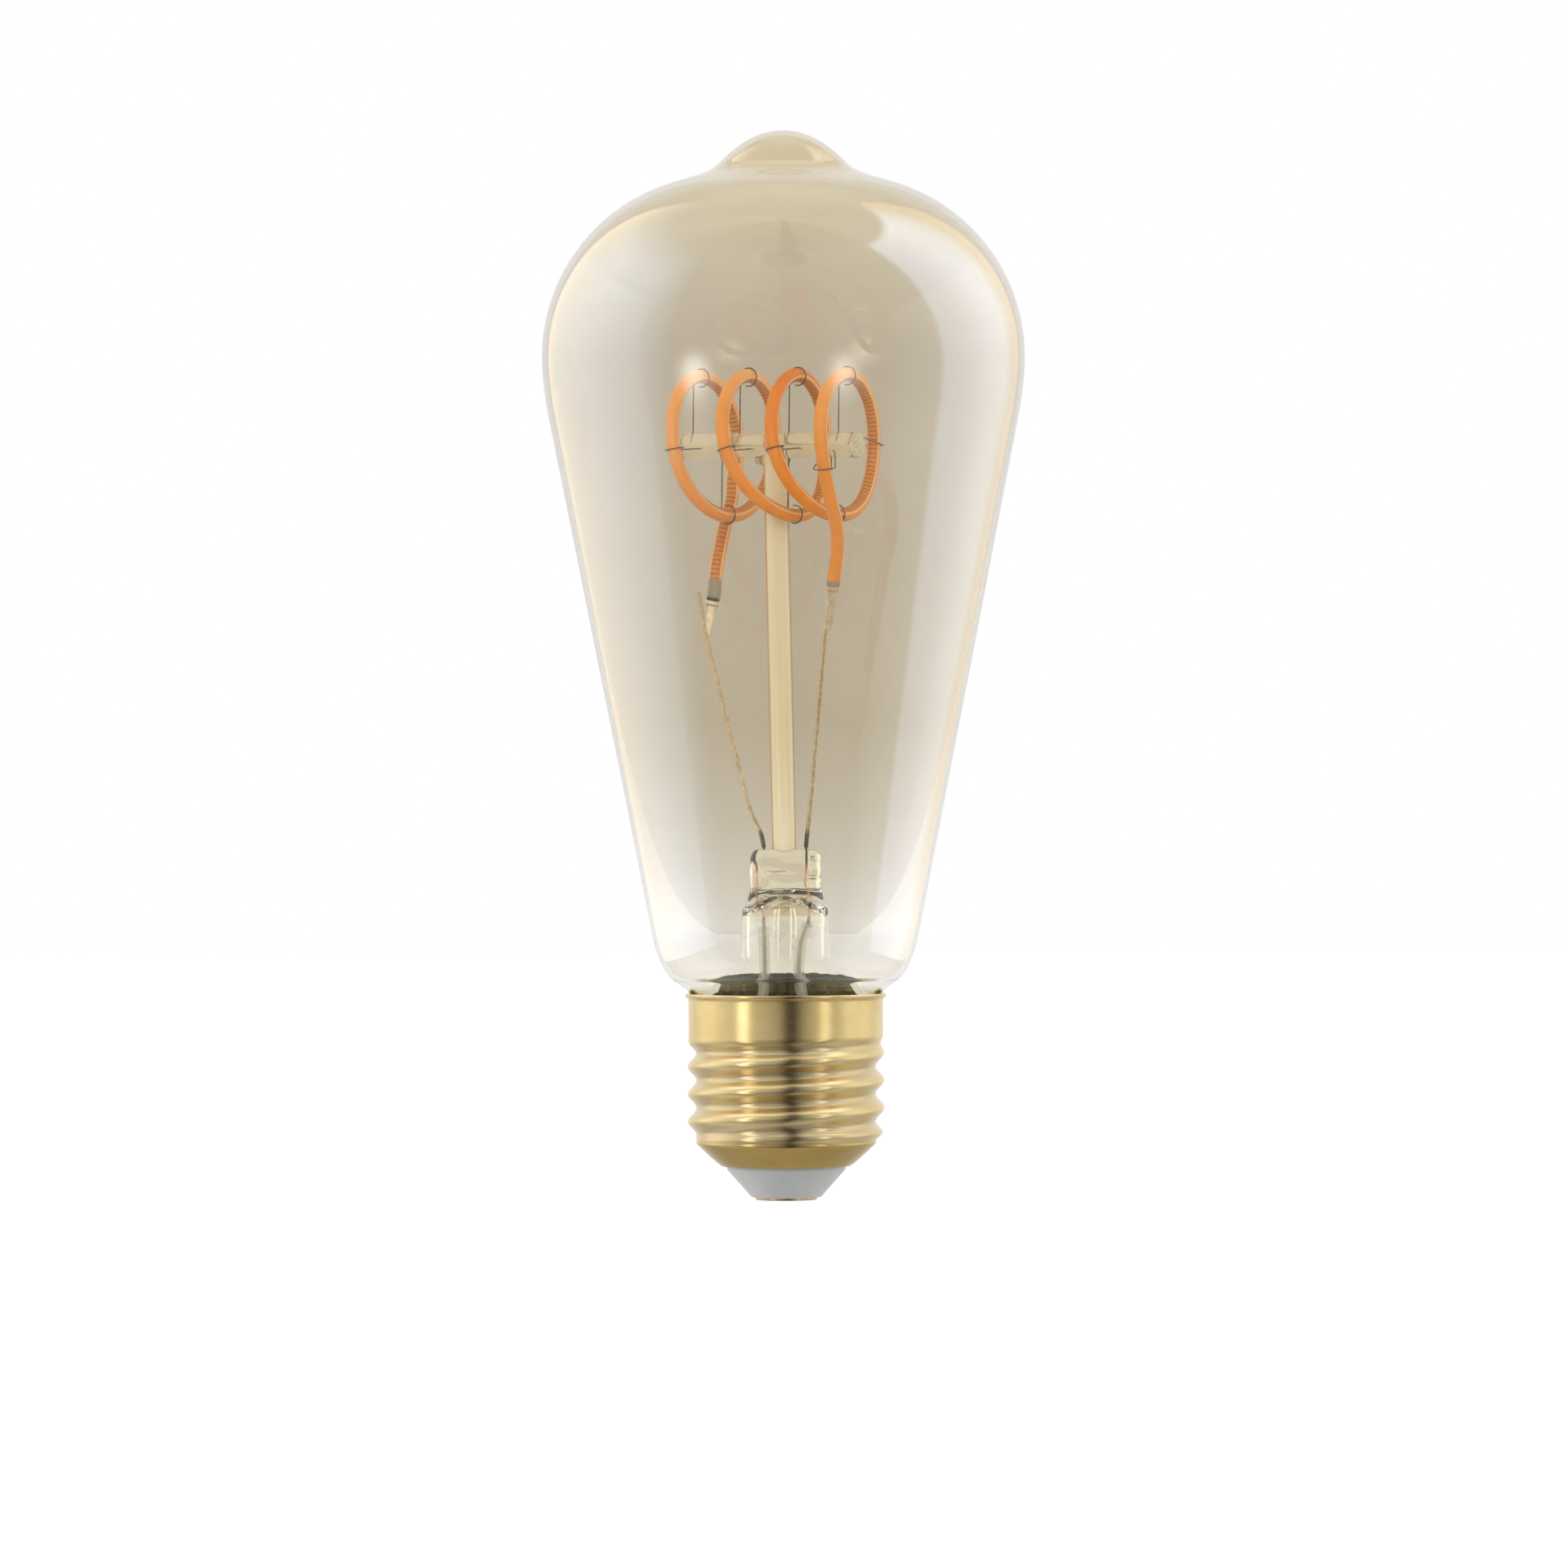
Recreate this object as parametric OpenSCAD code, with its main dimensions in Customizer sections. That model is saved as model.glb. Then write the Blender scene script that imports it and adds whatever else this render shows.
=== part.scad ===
// Smart filament light bulb with a pear-shaped tinted glass envelope, a coiled flexible
// LED filament on a glass stem, and a driver with a radio inside its E27 screw cap.
// Millimetres. The origin is the middle of the centre contact's underside, +Z runs to the
// glass tip and -Y is the front.

/* [Glass envelope] */
// Height from the centre contact to the glass tip
overall_h = 141.5; // [139:0.5:146]
// Widest outside diameter of the glass
glass_d = 64; // [62:0.5:66]
// Wall thickness of the glass
glass_wall = 0.7; // [0.5:0.1:0.9]
// Radius of the rounded shoulder
shoulder_r = 24; // [23:0.5:25]
// Outside diameter of the neck inside the cap
neck_d = 24.4; // [24:0.1:24.6]

/* [Screw cap] */
// Outside diameter of the plain collar
collar_d = 25.8; // [25.7:0.05:25.9]
// Outside diameter over the thread crests
crest_d = 26.06; // [26:0.02:26.1]
// Outside diameter at the thread roots
root_d = 23.8; // [23.6:0.1:24.2]
// Advance of the thread in one turn
thread_pitch = 3.629; // [3.6:0.001:3.66]
// Thickness of the rolled brass
shell_wall = 0.3; // [0.25:0.01:0.32]
// Diameter of the flared rim that holds the glass
rim_d = 26.75; // [26.5:0.05:27]
// Diameter of the centre contact
contact_d = 8.2; // [7.6:0.1:9]
// Outside diameter of the insulator at the centre contact
insulator_tip_d = 9.8; // [9.6:0.1:10.4]

/* [Glass stem] */
// Outside diameter of the flare tube
flare_d = 11.5; // [11:0.1:12]
// Wall thickness of the flare tube
flare_wall = 0.9; // [0.7:0.1:1.1]
// Width of the pinched glass block
press_w = 9.4; // [9.2:0.1:10]
// Thickness of the pinched glass block
press_t = 4.2; // [4:0.1:5]
// Diameter of the upright post
post_d = 3.2; // [3:0.1:3.5]
// Diameter of the crossbar
bar_d = 3.4; // [3.2:0.1:3.6]
// Length of the crossbar
bar_l = 28; // [27.6:0.2:29]
// Height of the crossbar and of the coil axis
bar_z = 99.8; // [98:0.2:101]
// Diameter of the exhaust tube
exhaust_d = 3.2; // [3:0.1:3.4]

/* [Filament] */
// Radius of the coil at the middle of the filament
coil_r = 9.25; // [8.8:0.05:9.6]
// Advance of the coil in one turn
coil_pitch = 7.76; // [7.7:0.01:7.8]
// Angle of the coil axis about the vertical, right end to the front
coil_turn = 33; // [32:0.5:34]
// Downward tilt of the coil axis towards its front end
coil_tilt = 0.9; // [0:0.1:1.2]
// Diameter of the silicone
filament_d = 1.8; // [1.7:0.02:1.9]
// Light-emitting chips on each straight stretch of the coil's strip
chips_each = 3; // [1:1:3]
// Diameter of the support wires
hook_wire_d = 0.18; // [0.16:0.01:0.2]
// Diameter of the supply wires inside the glass
lead_d = 0.6; // [0.5:0.05:0.65]
// Diameter of the insulating sleeves
sleeve_d = 1.45; // [1.35:0.05:1.55]

/* [Driver] */
// Width of the driver board
board_w = 19; // [18:0.5:20]
// Thickness of the driver board
board_t = 1; // [0.8:0.1:1.2]
// Diameter of the bulk capacitor
capacitor_d = 8; // [6.3:0.1:8]
// Height of the bulk capacitor
capacitor_h = 10.5; // [9:0.5:10.5]
// Diameter of the inductor flanges
inductor_d = 7; // [6:0.2:7]
// Height of the inductor
inductor_h = 6; // [5:0.5:6.5]
// Side of the square shield can
shield_side = 8; // [7:0.5:8.5]

/* [Hidden] */

// Facets used for large, medium and small round shapes
large_fn = 128;
medium_fn = 64;
small_fn = 32;
// Overlap that joins two shapes of one piece, and the gap left round a piece that is cast in
join = 0.2;
cast_gap = 0.05;

// Heights up the cap
contact_h = 0.45;
insulator_z = 0.35;
insulator_top_z = 4.35;
shell_z = 4.45;
cone_top_z = 7.6;
collar_z = 21.9;
lip_z = 26.4;
rim_z = 27.4;
neck_z = 23.6;
// Radii of the cap
collar_r = collar_d / 2;
rim_r = rim_d / 2;
collar_bore_r = collar_r - shell_wall;
cone_tip_r = 8.6;
cone_top_r = root_d / 2;
insulator_tip_r = insulator_tip_d / 2;
insulator_rim_r = 7.85;
eyelet_r = 1.3;
eyelet_bore_r = 0.8;
eyelet_top_z = 6.4;
// Height of one thread crest at the right-hand side
crest_z = 8.57;
// Height over which the thread fades in and out at its two ends
fade_in_h = 1.6;
fade_out_h = 2.6;
// Grid of the rolled thread
thread_columns = 40;
thread_rows = 36;
bore_rows = 18;

// Heights and radii of the glass outline
neck_r = neck_d / 2;
neck_bore_r = neck_r - glass_wall;
glass_r = glass_d / 2;
widest_z = overall_h - 30;
taper_foot = [17.6, 34.8];
taper_head = [glass_r - 1, widest_z - 8.7];
shoulder_angle = 70;
nipple_foot = [8.6, overall_h - 4.4];

// Heights up the stem
skirt_z = neck_z;
bell_z = 31.8;
flare_top_z = 38;
press_z = 41.6;
press_top_z = 46.4;
post_foot = [-0.1, 0, press_top_z - 0.6];
post_head = [-1.13, 0, bar_z - 0.4];
bar_centre = [-1.88, 0, bar_z];
exhaust_top = [-0.05, 0, 39.4];
exhaust_tip = [-0.3, 0, 21.6];
blow_hole_z = 40.3;
blow_hole_d = 1.2;
blow_hole_l = 3.6;
// Height of the outer edge of the filling and of the cement
plug_edge_z = 25.6;

// Directions of the coil: along its axis, across it to the back, and up
axis_dir = [cos(coil_turn) * cos(coil_tilt), -sin(coil_turn) * cos(coil_tilt), -sin(coil_tilt)];
back_dir = [sin(coil_turn), cos(coil_turn), 0];
up_dir = cross(axis_dir, back_dir);
// Place of the first crown along the bar, and the coil angles where the round part begins and ends
first_crown_s = -11.2;
crown_count = 4;
coil_start = -28;
coil_end = 1268;
coil_step = 12;
// Half the angle over which the coil takes up its pitch
ease_angle = 45;
// How far the bottom of each turn leans along the bar, the middle one to pass beside the post
bottom_lean = [0.9, 3.7, 2.6];
filament_r = filament_d / 2;

// Radius of the loops of the support wires, and the coil angle past each crown of those in front
loop_r = 1.2;
front_angle = 94;
// Two support wires that were bent by hand at the right end: one loose in front, one open behind
loose_hook_route = [[6.68, -5.56, 99.2], [6.7, -14.5, 96.4], [6.7, -16, 96.2], [4.5, -16.7, 95.9],
    [3.67, -15.6, 96.1], [4.5, -13.9, 97.1]];
open_hook_route = [[8.7, -6.9, 99.7], [9.9, -4, 100.9], [13.28, 2.3, 99.9], [12.95, 3.5, 99.95],
    [10.3, 4.5, 100]];

// Routes of the two legs below the coil, from the terminal up on the left and down on the right
left_leg = [[-9.55, 8.1, 79.5], [-9.34, 8.25, 80.65], [-9.15, 8.8, 82.9], [-8.85, 9.5, 85],
    [-8.45, 10.2, 87.1], [-8, 10.9, 89.2], [-7.5, 11.5, 91.2], [-7, 12.3, 93.4]];
right_leg = [[5.3, -15.2, 95.9], [5.8, -14.4, 93.4], [6.4, -13.5, 90.9], [6.85, -12.7, 88.6],
    [7, -12, 86.4], [6.85, -11.3, 84.3], [6.52, -10.58, 82.16], [6.38, -10.35, 81]];
left_tab_end = [-10.4, 7.5, 74.9];
right_tab_end = [5.7, -9.2, 75.2];
// Routes of the wires from the filament down to the driver board
lead_left_route = [[-11.5, 6.6, 80.6], [-10.6, 6.9, 75.2], [-10.25, 6.8, 73.8], [-4.62, 2.6, 51.4],
    [-3.2, 0.9, 48.7], [-2.8, 0.2, 46.6]];
lead_right_route = [[5.5, -8.6, 76.6], [5.3, -8.2, 74.6], [4.6, -6.2, 66.4], [3.3, -2.4, 51.4],
    [2.9, -0.8, 48.3], [2.75, -0.1, 46.6]];
dumet_left_route = [[-2.8, 0.2, 46.6], [-2.75, 0.11, 46.32], [-3.9, 0, 45.5], [-3.65, 0, 44.2],
    [-3.4, 0, 41.8], [-4, -0.2, 40.6], [-2.9, 0, 38.4], [-2.9, 0, 37.4]];
dumet_right_route = [[2.75, -0.1, 46.6], [2.73, 0.01, 46.32], [2.7, -0.1, 44.3], [2.6, -0.1, 41.8],
    [3, -0.2, 40], [3.1, 0, 38.4], [3.1, 0, 37.4]];
outer_left_route = [[-2.9, 0, 37.4], [-2.9, 0, 37], [-2.85, -0.1, 35], [-2.75, -0.3, 31],
    [-2.8, -0.4, 29.2], [-3.35, -0.4, 26.6], [-3.4, -0.3, 24], [-3.2, -0.2, 21.4],
    [-3.2, -0.35, 18.6]];
outer_right_route = [[3.1, 0, 37.4], [3.1, 0, 37], [2.8, -0.25, 36.1], [2.05, -1.1, 34.4],
    [1.75, -1.65, 31.4], [1.8, -1.7, 29.3], [2.7, -1.3, 26.6], [3.2, -0.7, 24], [3.3, -0.3, 21.4],
    [3.3, -0.35, 18.6]];
sleeve_left_route = [[-2.87, -0.05, 36.2], [-2.85, -0.1, 35], [-2.75, -0.3, 31],
    [-2.8, -0.4, 29.2], [-3.35, -0.4, 26.6], [-3.4, -0.3, 24], [-3.23, -0.22, 20.6]];
sleeve_right_route = [[2.88, -0.18, 36.4], [2.8, -0.25, 36.1], [2.05, -1.1, 34.4],
    [1.75, -1.65, 31.4], [1.8, -1.7, 29.3], [2.7, -1.3, 26.6], [3.2, -0.7, 24],
    [3.3, -0.3, 20.6]];
contact_wire_route = [[1.6, -3.2, 9.9], [1.2, -3.2, 9.9], [0.5, -2.2, 9], [0, -0.6, 7.6],
    [0, 0, 5.8], [0, 0, 0.95]];
shell_wire_route = [[8.5, -0.35, 18.1], [9.4, -0.6, 18.9], [10.6, -0.6, 19.5], [11.1, -0.6, 20.5],
    [11.5, -0.6, 21.3], [12.25, -0.6, 21.95]];
outer_lead_d = 0.45;
dumet_d = 0.28;
hookup_d = 0.5;

// Strip, chips and the channel for them in the silicone, across and through the filament
strip_w = 1;
strip_t = 0.2;
strip_shift = -0.1;
chip_l = 0.4;
chip_w = 0.6;
chip_t = 0.2;
chip_bond = 0.02;
channel_w = 1.16;
channel_t = 0.62;
channel_shift = 0.1;
terminal_w = 1.1;
terminal_t = 0.25;
crimp = [1.9, 1.3, 0.7];

// Driver board and the parts on it, in the space of the thread
board_y = 0;
board_z = 7.8;
board_h = 12;
capacitor_at = [-4.5, -4.7, 8.3];
inductor_at = [4.9, -4.4, 12.6];
resistor_at = [1.6, -3.2, 9.9];
resistor_d = 2.6;
resistor_l = 6.8;
rectifier_at = [-8, 9];
rectifier_size = [4.7, 2.4, 3.9];
chip_at = [3.2, 14.2];
chip_size = [4.9, 1.5, 3.9];
radio_y = 5.2;
radio_board_size = [11, 0.8, 11];
radio_z = 8.4;
shield_t = 1.6;
antenna_size = [5, 1.1, 1.6];
pin_count = 4;
pin_spacing = 2;
pin_d = 0.6;
plug_r = neck_bore_r - flare_wall;
plug_z = 20.3;

// ---- Curves ----

function unit(v) = v / norm(v);

function bezier(a, b, c, d, n) = [for (i = [0:n])
    let (t = i / n, s = 1 - t)
    s * s * s * a + 3 * s * s * t * b + 3 * s * t * t * c + t * t * t * d];

function arc(centre, r, from, to, n) = [for (i = [0:n])
    let (a = from + (to - from) * i / n)
    centre + r * [cos(a), sin(a)]];

function flip(list) = [for (i = [len(list) - 1:-1:0]) list[i]];

function tail(list) = [for (i = [1:len(list) - 1]) list[i]];

// Direction of an open outline or route at one of its points
function heading(p, i) = unit(p[min(i + 1, len(p) - 1)] - p[max(i - 1, 0)]);

// The same outline moved sideways to its left by a distance, and never past the axis
function shifted(p, distance) = [for (i = [0:len(p) - 1])
    let (h = heading(p, i))
    [max(0, p[i][0] - distance * h[1]), p[i][1] + distance * h[0]]];

// A wall of even thickness on the left of an outline
function wall_outline(p, thickness) = concat(p, flip(shifted(p, thickness)));

// Smooth step from 0 to 1
function ease(t) = let (u = min(1, max(0, t))) u * u * (3 - 2 * u);

// ---- Swept solids ----

// Faces between rings of n points, in rows, starting at point number base
function skin_faces(rows, n, base, outward) = [for (i = [0:rows - 2], j = [0:n - 1])
    let (a = base + i * n + j, b = base + i * n + (j + 1) % n, c = b + n, d = a + n)
    each (outward ? [[a, d, c], [a, c, b]] : [[a, c, d], [a, b, c]])];

// Faces that close the gap between two rings of n points at one end
function rim_faces(n, outer, inner, upward) = [for (j = [0:n - 1])
    let (k = (j + 1) % n, a = outer + j, b = outer + k, c = inner + k, d = inner + j)
    each (upward ? [[a, d, c], [a, c, b]] : [[a, c, d], [a, b, c]])];

// Frame of a route at one point: its heading, the direction given as inward made square to it,
// and the third direction
function frame_at(route, inward, i) =
    let (h = heading(route, i), n = unit(inward[i] - (inward[i] * h) * h))
    [h, n, cross(h, n)];

// Ring of an outline drawn across a route at one of its points
function ring_at(route, inward, i, outline) =
    let (f = frame_at(route, inward, i))
    [for (q = outline) route[i] + q[0] * f[1] + q[1] * f[2]];

function round_outline(r, sides) = [for (j = [0:sides - 1])
    r * [cos(360 * (j + 0.5) / sides), sin(360 * (j + 0.5) / sides)]];

// Rectangle with one point halfway along each side, so that it has eight
function box_outline(t, w, shift) = [
    [shift + t / 2, w / 6], [shift + t / 2, w / 2], [shift - t / 2, w / 2], [shift - t / 2, w / 6],
    [shift - t / 2, -w / 6], [shift - t / 2, -w / 2], [shift + t / 2, -w / 2],
    [shift + t / 2, -w / 6]];

function strip_outline(t, w, shift) = [[shift + t / 2, w / 2], [shift - t / 2, w / 2],
    [shift - t / 2, -w / 2], [shift + t / 2, -w / 2]];

module sweep(route, inward, outline) {
    n = len(outline);
    rings = len(route);
    points = [for (i = [0:rings - 1]) each ring_at(route, inward, i, outline)];
    start = [[for (j = [0:n - 1]) j]];
    finish = [[for (j = [n - 1:-1:0]) (rings - 1) * n + j]];
    polyhedron(points, concat(start, skin_faces(rings, n, 0, true), finish), convexity = 8);
}

module sweep_tube(route, inward, outline, bore) {
    n = len(outline);
    rings = len(route);
    outer = [for (i = [0:rings - 1]) each ring_at(route, inward, i, outline)];
    inner = [for (i = [0:rings - 1]) each ring_at(route, inward, i, bore)];
    base = rings * n;
    last = (rings - 1) * n;
    polyhedron(concat(outer, inner), concat(
        skin_faces(rings, n, 0, true),
        skin_faces(rings, n, base, false),
        rim_faces(n, 0, base, false),
        rim_faces(n, last, base + last, true)), convexity = 8);
}

// Wire of a round section along hand-laid points
module wire(route, d, sides = 8) {
    sweep(route, [for (p = route) [0, -1, 0.01]], round_outline(d / 2, sides));
}

module rod(from, to, d, fn = small_fn) {
    run = to - from;
    translate(from)
        rotate([0, acos(run[2] / norm(run)), atan2(run[1], run[0])])
            cylinder(d = d, h = norm(run), $fn = fn);
}

// ---- Glass envelope ----

function envelope_outline() = concat(
    [[neck_r, neck_z]],
    bezier([neck_r, 25.6], [neck_r, 27.2], [neck_r + 0.8, 27.7], [14.8, 28.95], 8),
    tail(bezier([14.8, 28.95], [15.9, 29.7], taper_foot - [0.6, 3], taper_foot, 8)),
    bezier(taper_head, taper_head + [0.55, 2.9], [glass_r, widest_z - 3], [glass_r, widest_z], 5),
    tail(arc([glass_r - shoulder_r, widest_z], shoulder_r, 0, shoulder_angle, 14)),
    tail(bezier(
        [glass_r - shoulder_r, widest_z] + shoulder_r * [cos(shoulder_angle), sin(shoulder_angle)],
        [nipple_foot[0] + 4.8, nipple_foot[1] - 2.02],
        [nipple_foot[0] + 1.6, nipple_foot[1] - 1.5], nipple_foot, 7)),
    tail(bezier(nipple_foot, nipple_foot + [-1.6, 1.55], [4.2, overall_h], [0, overall_h], 10)));

module glass_envelope() {
    color([0.86, 0.78, 0.62, 0.35])
        rotate_extrude($fn = large_fn)
            polygon(wall_outline(envelope_outline(), glass_wall));
}

// ---- Glass stem ----

// Outside of the flare, from the end of its skirt up to the top of its tube
function flare_outline() = concat(
    [[neck_bore_r, skirt_z]],
    bezier([neck_bore_r, 26], [neck_bore_r, 31], [flare_d / 2 + 0.35, 29.9], [flare_d / 2, bell_z], 12),
    [[flare_d / 2, flare_top_z]]);

module press_section(width, thickness, corner) {
    square([width - 2 * corner, thickness], center = true);
    square([width, thickness - 2 * corner], center = true);
    for (x = [-1, 1], y = [-1, 1])
        translate([x * (width / 2 - corner), y * (thickness / 2 - corner)])
            circle(r = corner, $fn = small_fn);
}

module stem_flare() {
    color([0.9, 0.87, 0.76, 0.5])
        rotate_extrude($fn = medium_fn)
            polygon(wall_outline(flare_outline(), flare_wall));
}

module press_solid() {
    corner = 1.6;
    translate([0, 0, press_z - join])
        intersection() {
            linear_extrude(press_top_z - press_z + join)
                press_section(press_w, press_t, corner);
            rotate([90, 0, 0])
                linear_extrude(press_t + 2, center = true)
                    translate([0, (press_top_z - press_z + join) / 2 - corner])
                        press_section(press_w, press_top_z - press_z + join + 2 * corner, corner);
        }
    hull() {
        translate([0, 0, flare_top_z])
            cylinder(d = flare_d, h = 0.5, $fn = small_fn);
        translate([0, 0, press_z - 0.1])
            linear_extrude(0.1)
                press_section(press_w, press_t, corner);
    }
}

module stem_press() {
    color([0.87, 0.84, 0.7, 0.6])
        difference() {
            press_solid();
            rod(post_foot, post_head, post_d + 2 * cast_gap);
            rod(exhaust_tip, exhaust_top, exhaust_d + 2 * cast_gap);
            translate([0, 0, blow_hole_z])
                rotate([0, 90, 0])
                    cylinder(d = blow_hole_d, h = blow_hole_l, center = true, $fn = small_fn);
            wire(dumet_left_route, dumet_d + 2 * cast_gap);
            wire(dumet_right_route, dumet_d + 2 * cast_gap);
        }
}

module exhaust_tube() {
    color([0.9, 0.88, 0.78, 0.6])
        difference() {
            rod(exhaust_tip, exhaust_top, exhaust_d);
            rod(exhaust_tip + [0, 0, 1], exhaust_top + [0, 0, 1], exhaust_d / 2);
        }
}

module stem_post() {
    color([0.91, 0.84, 0.65])
        difference() {
            rod(post_foot, post_head, post_d);
            bar_solid();
        }
}

module bar_solid() {
    rod(bar_centre - axis_dir * bar_l / 2, bar_centre + axis_dir * bar_l / 2, bar_d);
}

module post_bead() {
    bead_r = 2.3;
    bead_h = 1.3;
    color([0.88, 0.84, 0.7, 0.7])
        difference() {
            translate([post_head[0] - 0.3, 0, bar_z - bar_d / 2 - 0.2])
                rotate_extrude($fn = small_fn)
                    polygon(concat([[0, -bead_h / 2], [bead_r - bead_h / 2, -bead_h / 2]],
                        tail(arc([bead_r - bead_h / 2, 0], bead_h / 2, -90, 90, 8)),
                        [[0, bead_h / 2]]));
            rod(post_foot, post_head, post_d);
            bar_solid();
        }
}

module crossbar() {
    color([0.89, 0.82, 0.64, 0.8])
        difference() {
            bar_solid();
            for (turn = all_hooks())
                rod(shank_foot(turn), shank_foot(turn) + bar_d * coil_radial(turn),
                    hook_wire_d + 2 * cast_gap);
            for (p = [loose_hook_route, open_hook_route])
                rod(p[0], p[0] + unit(p[1] - p[0]) * bar_d, hook_wire_d + 2 * cast_gap);
        }
}

// ---- Filament coil and its support wires ----

// Advance of the coil along its axis, in degrees of turn, with soft ends to its pitch
function eased_turn(t) = t < -ease_angle ? 0
    : t < ease_angle ? (t + ease_angle) * (t + ease_angle) / (4 * ease_angle) : t;

// Lean of the coil along the bar, which is nothing at each crown and most at each bottom
function lean(turn) =
    let (k = floor((turn - 90) / 360))
    k < 0 || k >= len(bottom_lean) ? 0 : bottom_lean[k] * pow((1 - sin(turn)) / 2, 3);

function coil_s(turn) = first_crown_s + coil_pitch * eased_turn(turn - 90) / 360 + lean(turn);

function coil_radial(turn) = cos(turn) * back_dir + sin(turn) * up_dir;

function bar_point(s) = bar_centre + s * axis_dir;

function coil_point(turn) = bar_point(coil_s(turn)) + coil_r * coil_radial(turn);

coil_turns = [for (a = [coil_start:coil_step:coil_end]) a];
filament_route = concat(left_leg, [for (a = coil_turns) coil_point(a)], right_leg);
filament_inward = concat(
    [for (p = left_leg) -coil_radial(coil_start)],
    [for (a = coil_turns) -coil_radial(a)],
    [for (p = right_leg) -coil_radial(coil_end)]);

// A hook is known by the coil angle that it holds. Its straight shank runs out from the bar beside
// the filament, and its loop goes round the filament, against the filament's outer side.
function loop_middle(turn) =
    coil_point(turn) - (loop_r - filament_r - hook_wire_d / 2 - cast_gap) * coil_radial(turn);

function loop_side(turn) =
    unit(cross(coil_radial(turn), coil_point(turn + 1) - coil_point(turn - 1)));

function shank_end(turn) = loop_middle(turn) - loop_r * loop_side(turn);

// Foot of the shank, close to the middle of the bar
function shank_foot(turn) =
    shank_end(turn) - ((shank_end(turn) - bar_centre) * coil_radial(turn) - 0.3) * coil_radial(turn);

function crown_turn(k) = 90 + 360 * k;

top_hooks = [for (k = [0:crown_count - 1]) crown_turn(k)];
front_hooks = [for (k = [0:crown_count - 2]) crown_turn(k) + front_angle];
bottom_hooks = [for (k = [0:crown_count - 2]) crown_turn(k) + 180];
rear_hooks = [for (k = [1:crown_count - 2]) crown_turn(k) - 90];

function all_hooks() = concat(top_hooks, front_hooks, bottom_hooks, rear_hooks);

module hook_wire(turn) {
    loop_start = 270;
    loop_end = -20;
    loop_step = -29;
    loop = [for (a = [loop_start:loop_step:loop_end])
        loop_middle(turn) + loop_r * (sin(a) * loop_side(turn) - cos(a) * coil_radial(turn))];
    route = concat([shank_foot(turn)], loop);
    across = cross(coil_radial(turn), loop_side(turn));
    sweep(route, [for (p = route) across], round_outline(hook_wire_d / 2, 6));
}

module top_hook_wires() {
    color([0.24, 0.21, 0.18])
        for (turn = top_hooks)
            hook_wire(turn);
}

module bottom_hook_wires() {
    color([0.24, 0.21, 0.18])
        for (turn = bottom_hooks)
            hook_wire(turn);
}

module front_hook_wires() {
    color([0.24, 0.21, 0.18]) {
        for (turn = front_hooks)
            hook_wire(turn);
        wire(loose_hook_route, hook_wire_d, 6);
    }
}

module rear_hook_wires() {
    color([0.24, 0.21, 0.18]) {
        for (turn = rear_hooks)
            hook_wire(turn);
        wire(open_hook_route, hook_wire_d, 6);
    }
}

module filament_silicone() {
    color([0.89, 0.57, 0.3])
        sweep_tube(filament_route, filament_inward, round_outline(filament_r, 8),
            box_outline(channel_t, channel_w, channel_shift));
}

module filament_strip() {
    color([0.82, 0.76, 0.66])
        sweep(filament_route, filament_inward, strip_outline(strip_t, strip_w, strip_shift));
}

module led_chips() {
    color([0.35, 0.27, 0.2])
        for (i = [1:len(filament_route) - 3], k = [0:chips_each - 1])
            chip(i, (k + 0.5) / chips_each);
}

// Chip lying on the inner side of the strip, part of the way along one straight stretch of it
module chip(i, part) {
    p = filament_route[i] + part * (filament_route[i + 1] - filament_route[i]);
    h = unit(filament_route[i + 1] - filament_route[i]);
    inward = filament_inward[i] + part * (filament_inward[i + 1] - filament_inward[i]);
    n = unit(inward - (inward * h) * h);
    b = cross(h, n);
    multmatrix([
        [h[0], b[0], n[0], p[0]],
        [h[1], b[1], n[1], p[1]],
        [h[2], b[2], n[2], p[2]]])
        translate([-chip_l / 2, -chip_w / 2, strip_shift + strip_t / 2 + chip_bond])
            cube([chip_l, chip_w, chip_t]);
}

// ---- Terminals and wires ----

// Flat tab from one point to another, with a crimped collar over its upper end
module terminal(from, to) {
    run = to - from;
    color([0.72, 0.68, 0.55])
        translate(from)
            rotate([0, acos(run[2] / norm(run)), atan2(run[1], run[0])])
                rotate([0, 0, 90 - atan2(run[1], run[0])]) {
                    translate([-terminal_w / 2, -terminal_t / 2, 0])
                        cube([terminal_w, terminal_t, norm(run)]);
                    translate([-crimp[0] / 2, -crimp[1] / 2, 0])
                        cube([crimp[0], crimp[1], crimp[2]]);
                }
}

module filament_terminal_left() {
    terminal(left_leg[0], left_tab_end);
}

module filament_terminal_right() {
    terminal(right_leg[len(right_leg) - 1], right_tab_end);
}

module lead_wire_left() {
    color([0.75, 0.68, 0.55])
        wire(lead_left_route, lead_d);
}

module lead_wire_right() {
    color([0.75, 0.68, 0.55])
        wire(lead_right_route, lead_d);
}

module dumet_wire_left() {
    color([0.72, 0.42, 0.28])
        wire(dumet_left_route, dumet_d);
}

module dumet_wire_right() {
    color([0.72, 0.42, 0.28])
        wire(dumet_right_route, dumet_d);
}

module outer_lead_left() {
    color([0.5, 0.42, 0.34])
        wire(outer_left_route, outer_lead_d);
}

module outer_lead_right() {
    color([0.5, 0.42, 0.34])
        wire(outer_right_route, outer_lead_d);
}

module sleeve(route) {
    sweep_tube(route, [for (p = route) [0, -1, 0.01]], round_outline(sleeve_d / 2, 10),
        round_outline(outer_lead_d / 2 + 0.1, 10));
}

module sleeve_left() {
    color([0.85, 0.82, 0.74])
        sleeve(sleeve_left_route);
}

module sleeve_right() {
    color([0.85, 0.82, 0.74])
        sleeve(sleeve_right_route);
}

// ---- Screw cap ----

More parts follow.
